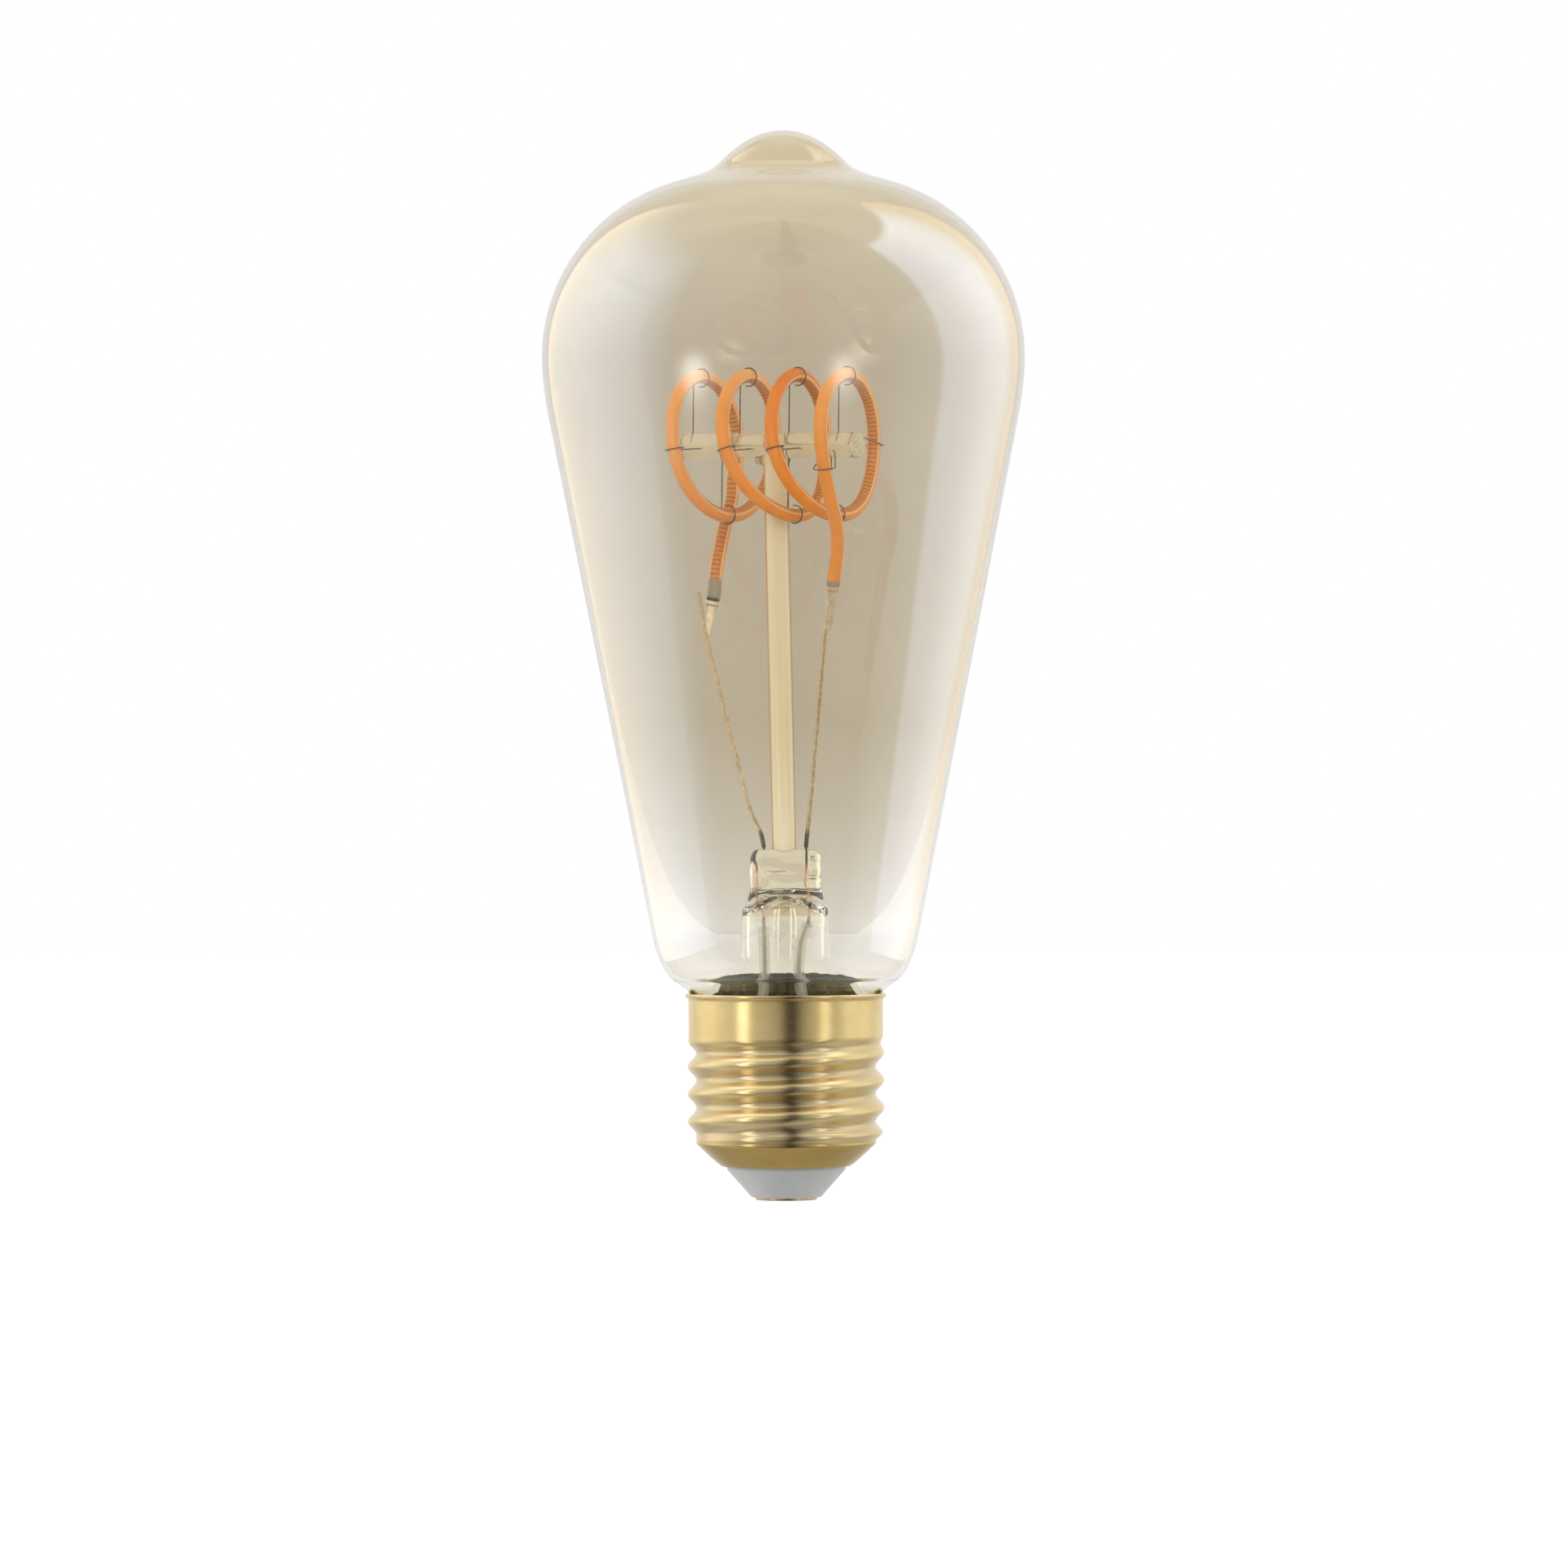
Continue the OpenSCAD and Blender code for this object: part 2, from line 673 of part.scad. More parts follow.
// Outside radius of the rolled thread at an angle and a height
function thread_r(angle, z) =
    let (
        rise = ease((z - cone_top_z) / fade_in_h),
        fall = ease((collar_z - z) / fade_out_h),
        middle = (crest_d + root_d) / 4,
        low = cone_top_r + (middle - cone_top_r) * rise,
        base = collar_r - join / 4 + (low - collar_r + join / 4) * fall,
        wave = cos(360 * (z - crest_z) / thread_pitch - angle))
    base + (crest_d - root_d) / 4 * wave * rise * fall;

function thread_rings(rows, inset) = [for (i = [0:rows - 1], j = [0:thread_columns - 1])
    let (
        z = cone_top_z - join + (collar_z - cone_top_z + 2 * join) * i / (rows - 1),
        a = 360 * j / thread_columns,
        r = thread_r(a, z) - inset)
    [r * cos(a), r * sin(a), z]];

module thread_wall() {
    n = thread_columns;
    outer = thread_rings(thread_rows, join / 4);
    inner = thread_rings(bore_rows, shell_wall - join / 4);
    base = thread_rows * n;
    polyhedron(concat(outer, inner), concat(
        skin_faces(thread_rows, n, 0, true),
        skin_faces(bore_rows, n, base, false),
        rim_faces(n, 0, base, false),
        rim_faces(n, (thread_rows - 1) * n, base + (bore_rows - 1) * n, true)), convexity = 10);
}

// Outside of the cone under the thread, from its tip up
function cone_outline() = concat(
    [[cone_tip_r - 0.5, shell_z]],
    bezier([cone_tip_r, shell_z], [cone_tip_r + 1, shell_z + 0.3],
        [cone_top_r, cone_top_z - 1.6], [cone_top_r, cone_top_z - 0.3], 7),
    [[cone_top_r, cone_top_z]]);

module cap_shell() {
    color([0.83, 0.7, 0.42])
        union() {
            thread_wall();
            rotate_extrude($fn = large_fn)
                polygon(wall_outline(cone_outline(), shell_wall));
            rotate_extrude($fn = large_fn)
                polygon(concat(
                    [[collar_bore_r, collar_z], [collar_r, collar_z], [collar_r, lip_z]],
                    tail(bezier([collar_r, lip_z], [collar_r, lip_z + 0.35],
                        [rim_r, lip_z + 0.3], [rim_r, rim_z - 0.25], 4)),
                    tail(arc([rim_r - 0.15, rim_z - 0.25], 0.15, 0, 180, 4)),
                    [[collar_bore_r, lip_z + 0.1]]));
        }
}

module cap_insulator() {
    well_r = 6;
    floor_z = 5.2;
    top_z = 7;
    inside = shifted(cone_outline(), shell_wall + cast_gap);
    color([0.68, 0.69, 0.7])
        rotate_extrude($fn = large_fn)
            polygon(concat(
                [[eyelet_r, insulator_z + 0.1], [contact_d / 2 + 0.1, insulator_z + 0.1]],
                [[contact_d / 2 + 0.1, insulator_z], [insulator_tip_r - 0.3, insulator_z]],
                tail(arc([insulator_tip_r - 0.3, insulator_z + 0.3], 0.3, -90, -20, 4)),
                [[insulator_rim_r, insulator_top_z - 0.3], [insulator_rim_r, insulator_top_z]],
                [for (p = inside) if (p[0] > insulator_rim_r + 0.1 && p[1] < top_z) p],
                [[well_r + 1.6, top_z], [well_r, floor_z], [eyelet_r, floor_z]]));
}

module cap_contact() {
    color([0.8, 0.7, 0.48])
        rotate_extrude($fn = medium_fn)
            polygon(concat(
                [[0, 0], [contact_d / 2 - 0.15, 0]],
                tail(arc([contact_d / 2 - 0.15, 0.15], 0.15, -90, 0, 4)),
                [[contact_d / 2, contact_h], [eyelet_r, contact_h], [eyelet_r, eyelet_top_z]],
                [[eyelet_bore_r, eyelet_top_z], [eyelet_bore_r, contact_h], [0, contact_h]]));
}

module basing_cement() {
    foot_z = 22.4;
    color([0.62, 0.56, 0.42])
        rotate_extrude($fn = large_fn)
            polygon([[neck_bore_r, foot_z], [collar_bore_r, foot_z],
                [collar_bore_r, plug_edge_z + 0.3], [neck_r, plug_edge_z - 0.1],
                [neck_r, neck_z], [neck_bore_r, neck_z]]);
}

// Filling under the flare, banked up at the back, where it hides the rear of the flare
module potting() {
    bank_z = 26.8;
    bank_y = 1;
    color([0.33, 0.3, 0.19])
        difference() {
            rotate_extrude($fn = medium_fn)
                polygon(concat([[0, plug_z], [plug_r, plug_z], [plug_r, plug_edge_z]],
                    tail(bezier([plug_r, plug_edge_z], [10.4, 28], [9, 29.15], [7, 29.3], 10)),
                    [[0, 29.5]]));
            translate([-plug_r - 1, bank_y - 2 * plug_r, bank_z])
                cube([2 * plug_r + 2, 2 * plug_r, 2 * plug_r]);
            rod(exhaust_tip - [0, 0, cast_gap], exhaust_top, exhaust_d + 2 * cast_gap);
            wire(concat(sleeve_left_route, [[-3.2, -0.2, 20]]), sleeve_d + 4 * cast_gap, 10);
            wire(concat(sleeve_right_route, [[3.3, -0.3, 20]]), sleeve_d + 4 * cast_gap, 10);
        }
}

// ---- Driver and radio in the cap ----

module driver_board() {
    color([0.2, 0.42, 0.25])
        translate([-board_w / 2, board_y, board_z])
            cube([board_w, board_t, board_h]);
}

module bulk_capacitor() {
    bead = 0.5;
    color([0.16, 0.18, 0.22])
        translate(capacitor_at)
            rotate_extrude($fn = medium_fn)
                polygon([[0, 0], [capacitor_d / 2 - bead / 2, 0], [capacitor_d / 2, bead / 2],
                    [capacitor_d / 2, 1.4], [capacitor_d / 2 - bead / 2, 1.7],
                    [capacitor_d / 2, 2], [capacitor_d / 2, capacitor_h - bead / 2],
                    [capacitor_d / 2 - bead / 2, capacitor_h], [0, capacitor_h]]);
}

module inductor() {
    flange_h = 0.9;
    color([0.25, 0.24, 0.23])
        translate(inductor_at)
            rotate_extrude($fn = medium_fn)
                polygon([[0, 0], [inductor_d / 2, 0], [inductor_d / 2, flange_h],
                    [inductor_d / 2 - 0.6, flange_h], [inductor_d / 2 - 0.6, inductor_h - flange_h],
                    [inductor_d / 2, inductor_h - flange_h], [inductor_d / 2, inductor_h],
                    [0, inductor_h]]);
}

module fusible_resistor() {
    cap_l = 1.4;
    color([0.45, 0.52, 0.4])
        translate(resistor_at)
            rotate([0, 90, 0])
                rotate_extrude($fn = small_fn)
                    polygon([[0, 0], [resistor_d / 2, 0.3], [resistor_d / 2, cap_l],
                        [resistor_d / 2 - 0.25, cap_l + 0.3],
                        [resistor_d / 2 - 0.25, resistor_l - cap_l - 0.3],
                        [resistor_d / 2, resistor_l - cap_l], [resistor_d / 2, resistor_l - 0.3],
                        [0, resistor_l]]);
}

// Moulded package with legs along two sides, standing on the back of the board
module package(at, size, legs) {
    body_t = size[1] - 0.2;
    leg_w = 0.45;
    leg_run = 0.9;
    translate([at[0], board_y + board_t, at[1]]) {
        translate([0, 0.2, 0])
            cube([size[0], body_t, size[2]]);
        for (i = [0:legs - 1])
            translate([(i + 0.5) * size[0] / legs - leg_w / 2, 0, -leg_run])
                cube([leg_w, 0.25, size[2] + 2 * leg_run]);
    }
}

module bridge_rectifier() {
    color([0.12, 0.12, 0.13])
        package(rectifier_at, rectifier_size, 2);
}

module driver_chip() {
    color([0.13, 0.13, 0.14])
        package(chip_at, chip_size, 4);
}

module radio_board() {
    color([0.15, 0.25, 0.42])
        translate([-radio_board_size[0] / 2, radio_y, radio_z])
            difference() {
                cube(radio_board_size);
                for (i = [0:pin_count - 1])
                    translate([radio_board_size[0] / 2 + (i - (pin_count - 1) / 2) * pin_spacing, -1, 1])
                        rotate([-90, 0, 0])
                            cylinder(d = pin_d, h = 3, $fn = small_fn);
            }
}

module radio_pins() {
    color([0.8, 0.72, 0.45])
        for (i = [0:pin_count - 1])
            translate([(i - (pin_count - 1) / 2) * pin_spacing, board_y + board_t, radio_z + 1])
                rotate([-90, 0, 0])
                    cylinder(d = pin_d, h = radio_y - board_y - board_t + 0.8, $fn = small_fn);
}

module radio_shield() {
    wall = 0.2;
    color([0.72, 0.73, 0.75])
        translate([-shield_side / 2, radio_y + radio_board_size[1], radio_z + 1.6])
            difference() {
                cube([shield_side, shield_t, shield_side * 0.75]);
                translate([wall, -wall, wall])
                    cube([shield_side - 2 * wall, shield_t, shield_side * 0.75 - 2 * wall]);
            }
}

module chip_antenna() {
    color([0.86, 0.86, 0.82])
        translate([-antenna_size[0] / 2, radio_y + radio_board_size[1],
            radio_z + radio_board_size[2] - antenna_size[2] - 0.6])
            cube(antenna_size);
}

module centre_contact_wire() {
    color([0.7, 0.3, 0.2])
        wire(contact_wire_route, hookup_d);
}

module shell_wire() {
    color([0.2, 0.2, 0.22])
        wire(shell_wire_route, hookup_d);
}

// Mounds of solder round the wires on the front of the board, and solder inside the contact
module solder_joints() {
    mound_r = 0.75;
    sunk = 0.15;
    fill_h = 0.9;
    color([0.75, 0.76, 0.78]) {
        difference() {
            for (at = [[-3.2, 18.3], [3.3, 18.3], [8.5, 17.9]])
                translate([at[0], board_y, at[1]])
                    rotate([90, 0, 0])
                        intersection() {
                            translate([0, 0, -sunk])
                                sphere(r = mound_r, $fn = small_fn);
                            cylinder(r = mound_r, h = mound_r, $fn = small_fn);
                        }
            wire(outer_left_route, outer_lead_d + 2 * cast_gap);
            wire(outer_right_route, outer_lead_d + 2 * cast_gap);
            wire(shell_wire_route, hookup_d + 2 * cast_gap);
        }
        translate([0, 0, contact_h])
            difference() {
                cylinder(r = eyelet_bore_r, h = fill_h, $fn = small_fn);
                translate([0, 0, 0.5])
                    cylinder(d = hookup_d + cast_gap, h = fill_h, $fn = small_fn);
            }
    }
}

glass_envelope();
stem_flare();
stem_press();
exhaust_tube();
stem_post();
post_bead();
crossbar();
top_hook_wires();
bottom_hook_wires();
front_hook_wires();
rear_hook_wires();
filament_silicone();
filament_strip();
led_chips();
filament_terminal_left();
filament_terminal_right();
lead_wire_left();
lead_wire_right();
dumet_wire_left();
dumet_wire_right();
outer_lead_left();
outer_lead_right();
sleeve_left();
sleeve_right();
cap_shell();
cap_insulator();
cap_contact();
basing_cement();
potting();
driver_board();
bulk_capacitor();
inductor();
fusible_resistor();
bridge_rectifier();
driver_chip();
radio_board();
radio_pins();
radio_shield();
chip_antenna();
centre_contact_wire();
shell_wire();
solder_joints();
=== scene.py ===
import math
from itertools import accumulate

import bmesh
import bpy
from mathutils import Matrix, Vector, noise


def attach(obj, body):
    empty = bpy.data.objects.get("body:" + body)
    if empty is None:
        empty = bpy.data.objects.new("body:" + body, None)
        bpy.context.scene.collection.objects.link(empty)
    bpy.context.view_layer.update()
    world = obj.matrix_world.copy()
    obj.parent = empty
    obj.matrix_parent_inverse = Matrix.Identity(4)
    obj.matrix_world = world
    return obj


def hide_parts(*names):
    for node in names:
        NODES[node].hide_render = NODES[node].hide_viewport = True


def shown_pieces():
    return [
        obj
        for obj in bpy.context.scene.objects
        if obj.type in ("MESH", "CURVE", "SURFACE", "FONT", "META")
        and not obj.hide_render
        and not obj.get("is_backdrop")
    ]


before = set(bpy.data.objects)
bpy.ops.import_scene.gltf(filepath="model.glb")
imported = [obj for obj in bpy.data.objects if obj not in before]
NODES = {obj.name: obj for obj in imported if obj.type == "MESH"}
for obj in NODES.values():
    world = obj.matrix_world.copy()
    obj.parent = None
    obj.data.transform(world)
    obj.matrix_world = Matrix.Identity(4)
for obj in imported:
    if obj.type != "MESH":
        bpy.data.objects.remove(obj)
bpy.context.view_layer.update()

# Without a seed noise_vector's offsets would be different in each run
noise.seed_set(1)
SCENE = bpy.context.scene

# Every length below is in millimetres, and MM takes it to metres.
MM = 0.001

# Camera: level, in front of the bulb
CAMERA_DISTANCE = 1100
CAMERA_SIDE = -0.13
CAMERA_HEIGHT = 55
CAMERA_ROLL = math.radians(0.2)
VIEW_WIDTH = 207.5
SENSOR_WIDTH = 36

# Heights up the cap, and its radii
CONTACT_R = 4.1
CONTACT_H = 0.45
EYELET_R = 1.3
EYELET_TOP = 6.4
INSULATOR_BOTTOM = 0.35
INSULATOR_TOP = 4.35
INSULATOR_TIP_R = 4.9
INSULATOR_RIM_R = 7.85
SHELL_BOTTOM = 4.45
CONE_TOP = 7.6
COLLAR_BOTTOM = 21.9
LIP_BOTTOM = 26.4
RIM_TOP = 27.4
CONE_TIP_R = 8.5
CONE_TOP_R = 11.9
COLLAR_R = 12.9
RIM_R = 13.37
SHELL_WALL = 0.3
THREAD_PITCH = 3.629
THREAD_CREST_R = 13.03
THREAD_ROOT_R = 11.9
FIRST_CREST = 8.57
FADE_IN = 1.6
FADE_OUT = 2.6

# Glass envelope
GLASS_R = 32
GLASS_TOP = 141.5
WIDEST_Z = 111.5
SHOULDER_R = 24
SHOULDER_ANGLE = 70
GLASS_WALL = 0.7
NECK_R = 12.2
NECK_BOTTOM = 23.6
NECK_TURN = (14.8, 28.95)
TAPER_FOOT = Vector((17.6, 34.8))
TAPER_HEAD = Vector((31, 102.8))
NIPPLE_FOOT = Vector((8.6, 137.1))

# Stem
SKIRT_R = 11.45
FLARE_R = 5.75
FLARE_WALL = 0.9
BELL_Z = 31.8
FLARE_TOP = 37.6
PRESS_HALF_W = 4.7
PRESS_HALF_T = 2.1
PRESS_BOTTOM = 41.4
PRESS_TOP = 46.4
PRESS_ROUND_W = 1.2
PRESS_ROUND_T = 0.9
POST_FOOT = Vector((-0.1, 0, PRESS_TOP - 0.4))
POST_HEAD = Vector((-1.13, 0, 98.6))
POST_D = 3.2
BAR_CENTRE = Vector((-1.88, 0, 99.8))
BAR_D = 3.4
BAR_L = 28
BEAD_CENTRE = Vector((-1.43, 0, 97.9))
BEAD_R = 2.3
BEAD_H = 1.3
EXHAUST_TOP = Vector((-0.05, 0, 38.9))
EXHAUST_TIP = Vector((-0.3, 0, 21.6))
EXHAUST_R = 1.6
EXHAUST_BORE_R = 0.8
PLUG_R = 10.55
PLUG_BOTTOM = 20.3
BANK_Z = 26.8

# Filament coil
COIL_TURN = math.radians(33)
COIL_TILT = math.radians(0.9)
COIL_R = 9.25
COIL_PITCH = 7.76
COIL_START = -28
COIL_END = 1268
COIL_STEP = 12
FIRST_CROWN = -11.2
CROWN_COUNT = 4
EASE_ANGLE = 45
BOTTOM_LEAN = (0.9, 3.7, 2.6)
FILAMENT_R = 0.9
STRIP_TWIST = math.radians(20)
CLEAR_L = 3.2
# Painted light on the filament's orange by coil angle: above 0 a painted highlight, palest on the
# outer crowns, and below 0 a painted shade, deepest on the third
PAINTED_LIGHT_BY_ANGLE = ((-60, 0.1), (40, 0.4), (90, 0.7), (140, 0.4), (190, 0.35), (270, 0.1), (390, 0.3),
         (450, 0.6), (500, 0.25), (560, 0.05), (740, 0), (790, -0.8), (830, -0.8), (900, -0.3),
         (960, 0), (1080, 0.15), (1130, 0.4), (1170, 0.65), (1210, 0.4), (1268, 0.1))
HOOK_WIRE_R = 0.09
LOOP_R = 1.2
CAST_GAP = 0.05
FRONT_ANGLE = 94
# Half thickness and half width of the filament's end tab, and of the collar crimped round it
TAB_HALVES = (0.14, 0.55)
CRIMP_HALVES = (0.64, 0.98)
CRIMP_L = 0.75
LEAD_R = 0.3
DUMET_R = 0.14
OUTER_LEAD_R = 0.22
SLEEVE_R = 0.72

AXIS_DIR = Vector((math.cos(COIL_TURN) * math.cos(COIL_TILT),
                   -math.sin(COIL_TURN) * math.cos(COIL_TILT), -math.sin(COIL_TILT)))
BACK_DIR = Vector((math.sin(COIL_TURN), math.cos(COIL_TURN), 0))
UP_DIR = AXIS_DIR.cross(BACK_DIR)

# Routes, which are the CAD model's own
LEFT_LEG = ((-9.55, 8.1, 79.5), (-9.34, 8.25, 80.65), (-9.15, 8.8, 82.9), (-8.85, 9.5, 85),
            (-8.45, 10.2, 87.1), (-8, 10.9, 89.2), (-7.5, 11.5, 91.2), (-7, 12.3, 93.4))
RIGHT_LEG = ((5.3, -15.2, 95.9), (5.8, -14.4, 93.4), (6.4, -13.5, 90.9), (6.85, -12.7, 88.6),
             (7, -12, 86.4), (6.85, -11.3, 84.3), (6.52, -10.58, 82.16), (6.38, -10.35, 81))
LEFT_TAB_END = (-10.4, 7.5, 74.9)
RIGHT_TAB_END = (5.7, -9.2, 75.2)
LOOSE_HOOK = ((6.68, -5.56, 99.2), (6.7, -14.5, 96.4), (6.7, -16, 96.2), (4.5, -16.7, 95.9),
              (3.67, -15.6, 96.1), (4.5, -13.9, 97.1))
OPEN_HOOK = ((8.7, -6.9, 99.7), (9.9, -4, 100.9), (13.28, 2.3, 99.9), (12.95, 3.5, 99.95),
             (10.3, 4.5, 100))
LEAD_LEFT = ((-11.5, 6.6, 80.6), (-10.6, 6.9, 75.2), (-10.25, 6.8, 73.8), (-4.62, 2.6, 51.4),
             (-3.2, 0.9, 48.7), (-2.8, 0.2, 46.6))
LEAD_RIGHT = ((5.5, -8.6, 76.6), (5.3, -8.2, 74.6), (4.6, -6.2, 66.4), (3.3, -2.4, 51.4),
              (2.9, -0.8, 48.3), (2.75, -0.1, 46.6))
DUMET_LEFT = ((-2.8, 0.2, 46.6), (-2.75, 0.11, 46.32), (-3.9, 0, 45.5), (-3.65, 0, 44.2),
              (-3.4, 0, 41.8), (-4, -0.2, 40.6), (-2.9, 0, 38.4), (-2.9, 0, 37.4))
DUMET_RIGHT = ((2.75, -0.1, 46.6), (2.73, 0.01, 46.32), (2.7, -0.1, 44.3), (2.6, -0.1, 41.8),
               (3, -0.2, 40), (3.1, 0, 38.4), (3.1, 0, 37.4))
OUTER_LEFT = ((-2.9, 0, 37.4), (-2.9, 0, 37), (-2.85, -0.1, 35), (-2.75, -0.3, 31),
              (-2.8, -0.4, 29.2), (-3.35, -0.4, 26.6), (-3.4, -0.3, 24), (-3.2, -0.2, 21.4),
              (-3.2, -0.35, 18.6))
OUTER_RIGHT = ((3.1, 0, 37.4), (3.1, 0, 37), (2.8, -0.25, 36.1), (2.05, -1.1, 34.4),
               (1.75, -1.65, 31.4), (1.8, -1.7, 29.3), (2.7, -1.3, 26.6), (3.2, -0.7, 24),
               (3.3, -0.3, 21.4), (3.3, -0.35, 18.6))
SLEEVE_LEFT = ((-2.87, -0.05, 36.2), *OUTER_LEFT[2:7], (-3.23, -0.22, 20.6))
SLEEVE_RIGHT = ((2.88, -0.18, 36.4), *OUTER_RIGHT[2:8], (3.3, -0.3, 20.6))


# ---- curves

def bezier(a, b, c, d, n):
    a, b, c, d = (Vector(p) for p in (a, b, c, d))
    points = []
    for i in range(n + 1):
        t = i / n
        s = 1 - t
        points.append(s ** 3 * a + 3 * s * s * t * b + 3 * s * t * t * c + t ** 3 * d)
    return points


def polar(r, share, z=0):
    """The point at a radius, a share of a turn and a height."""
    return Vector((r * math.cos(2 * math.pi * share), r * math.sin(2 * math.pi * share), z))


def arc(centre, r, start, end, n):
    """Outline points from one angle in degrees to another."""
    return [Vector(centre) + polar(r, (start + (end - start) * i / n) / 360).xy
            for i in range(n + 1)]


def shifted(outline, distance):
    """The outline moved to its left by a distance, and never past the axis."""
    outline = [Vector(p) for p in outline]
    moved = []
    last = len(outline) - 1
    for i, p in enumerate(outline):
        h = (outline[min(i + 1, last)] - outline[max(i - 1, 0)]).normalized()
        moved.append(Vector((max(0, p.x - distance * h.y), p.y + distance * h.x)))
    return moved


def smooth_step(t):
    t = min(1, max(0, t))
    return t * t * (3 - 2 * t)


def spline(points, parts):
    """Catmull-Rom curve through the points, in parts stretches from each to the next."""
    points = [Vector(p) for p in points]
    ends = [2 * points[0] - points[1]] + points + [2 * points[-1] - points[-2]]
    curve = []
    for i in range(1, len(ends) - 2):
        a, b, c, d = ends[i - 1:i + 3]
        for k in range(parts):
            t = k / parts
            curve.append(0.5 * (2 * b + (c - a) * t + (2 * a - 5 * b + 4 * c - d) * t * t
                                + (3 * b - a - 3 * c + d) * t ** 3))
    return curve + [points[-1]]


def bent(points, reach):
    """Straight stretches joined by short round bends, as a wire is bent by hand."""
    points = [Vector(p) for p in points]
    route = [points[0]]
    for before, corner, after in zip(points, points[1:], points[2:]):
        a = min(reach, (corner - before).length * 0.45)
        b = min(reach, (after - corner).length * 0.45)
        start = corner + (before - corner).normalized() * a
        end = corner + (after - corner).normalized() * b
        for t in (0, 0.25, 0.5, 0.75, 1):
            route.append((1 - t) ** 2 * start + 2 * t * (1 - t) * corner + t * t * end)
    return route + [points[-1]]


# ---- meshes

def add_object(name, data):
    made = bpy.data.objects.new(name, data)
    SCENE.collection.objects.link(made)
    return made


def add_mesh(name, points, faces, crease=None, recalculate=True):
    """A smooth-shaded mesh object, with edges sharper than crease degrees kept sharp."""
    mesh = bpy.data.meshes.new(name)
    mesh.from_pydata([Vector(p) * MM for p in points], [], faces)
    if recalculate:
        work = bmesh.new()
        work.from_mesh(mesh)
        bmesh.ops.recalc_face_normals(work, faces=work.faces)
        work.to_mesh(mesh)
        work.free()
    mesh.shade_smooth()
    if crease:
        mesh.set_sharp_from_angle(angle=math.radians(crease))
    return add_object(name, mesh)


def skin(rows, n, base=0, turned=False):
    """Quads between rings of n points each."""
    faces = []
    for i in range(rows - 1):
        for j in range(n):
            k = (j + 1) % n
            a = base + i * n
            quad = (a + j, a + k, a + n + k, a + n + j)
            faces.append(quad[::-1] if turned else quad)
    return faces


def fan(ring, n, middle, turned=False):
    """Triangles from the n points that start at ring to a middle point."""
    faces = [(ring + j, ring + (j + 1) % n, middle) for j in range(n)]
    return [face[::-1] for face in faces] if turned else faces


def lathe(name, outline, segments, crease, shape=None):
    """Turns a closed outline of (radius, height) about Z. Points on the axis become poles."""
    points, rows = [], []
    for r, z in outline:
        if r < 1e-4:
            rows.append([len(points)])
            points.append(Vector((0, 0, z)))
            continue
        rows.append(range(len(points), len(points) + segments))
        points += [polar(r, j / segments, z) for j in range(segments)]
    if shape:
        points = [shape(p) for p in points]
    faces = []
    for low, high in zip(rows, rows[1:] + rows[:1]):
        for j in range(segments):
            k = (j + 1) % segments
            quad = (low[j % len(low)], low[k % len(low)], high[k % len(high)], high[j % len(high)])
            faces.append(tuple(dict.fromkeys(quad)))
    return add_mesh(name, points, [face for face in faces if len(face) > 2], crease)


def frames(route, inward=None):
    """Heading and two square directions at each point of a route."""
    result = []
    last = len(route) - 1
    side = None
    for i, p in enumerate(route):
        h = (route[min(i + 1, last)] - route[max(i - 1, 0)]).normalized()
        if inward:
            side = inward[i]
        elif side is None:
            side = Vector((0, 1, 0)) if abs(h.y) < 0.9 else Vector((1, 0, 0))
        side = (side - h * side.dot(h)).normalized()
        result.append((p, h, side, h.cross(side)))
    return result


def circle(r, sides):
    return [polar(r, (j + 0.5) / sides).xy for j in range(sides)]


def sweep_rings(route, outline, inward=None, scale=None):
    """Rings of an outline carried along a route, each scaled by its own factor."""
    points = []
    for i, (p, _, n, b) in enumerate(frames(route, inward)):
        f = scale[i] if scale else 1
        points += [p + n * (x * f) + b * (y * f) for x, y in outline]
    return points


def sweep(name, route, outline, inward=None, scale=None, crease=35):
    """A solid of one outline carried along a route, closed with a fan at each end."""
    n = len(outline)
    points = sweep_rings(route, outline, inward, scale)
    faces = skin(len(route), n)
    for ring, centre in ((0, route[0]), ((len(route) - 1) * n, route[-1])):
        faces += fan(ring, n, len(points))
        points.append(centre)
    return add_mesh(name, points, faces, crease)


def wire(name, route, r, sides):
    """A round wire along a route, with its two ends rounded off."""
    turns = [math.pi / 6 * k for k in range(3)]
    scales = [max(0.08, math.sin(a)) for a in turns]
    start, end = ([tip + (after - tip).normalized() * (0.6 * r * (1 - math.cos(a)))
                   for a in (*turns, math.pi / 2)]
                  for tip, after in ((route[0], route[1]), (route[-1], route[-2])))
    body = start + route[1:-1] + end[::-1]
    scales += [1] * (len(body) - 6) + scales[::-1]
    return sweep(name, body, circle(r, sides), scale=scales, crease=60)


def joined(name, pieces):
    """Several mesh objects made into one."""
    mesh = bpy.data.meshes.new(name)
    work = bmesh.new()
    for piece in pieces:
        work.from_mesh(piece.data)
        old = piece.data
        bpy.data.objects.remove(piece)
        bpy.data.meshes.remove(old)
    work.to_mesh(mesh)
    work.free()
    return add_object(name, mesh)


def rod_between(name, start, end, r, bevel):
    """A rod with small rounded edges at its two ends."""
    length = (end - start).length
    steps = [0, bevel * 0.3, bevel] + [length * k / 12 for k in range(1, 12)]
    steps += [length - bevel, length - bevel * 0.3, length]
    edge = [1 - bevel / r, 1 - 0.3 * bevel / r, 1]
    return sweep(name, [start.lerp(end, s / length) for s in steps], circle(r, 48),
                 scale=edge + [1] * 11 + edge[::-1], crease=50)


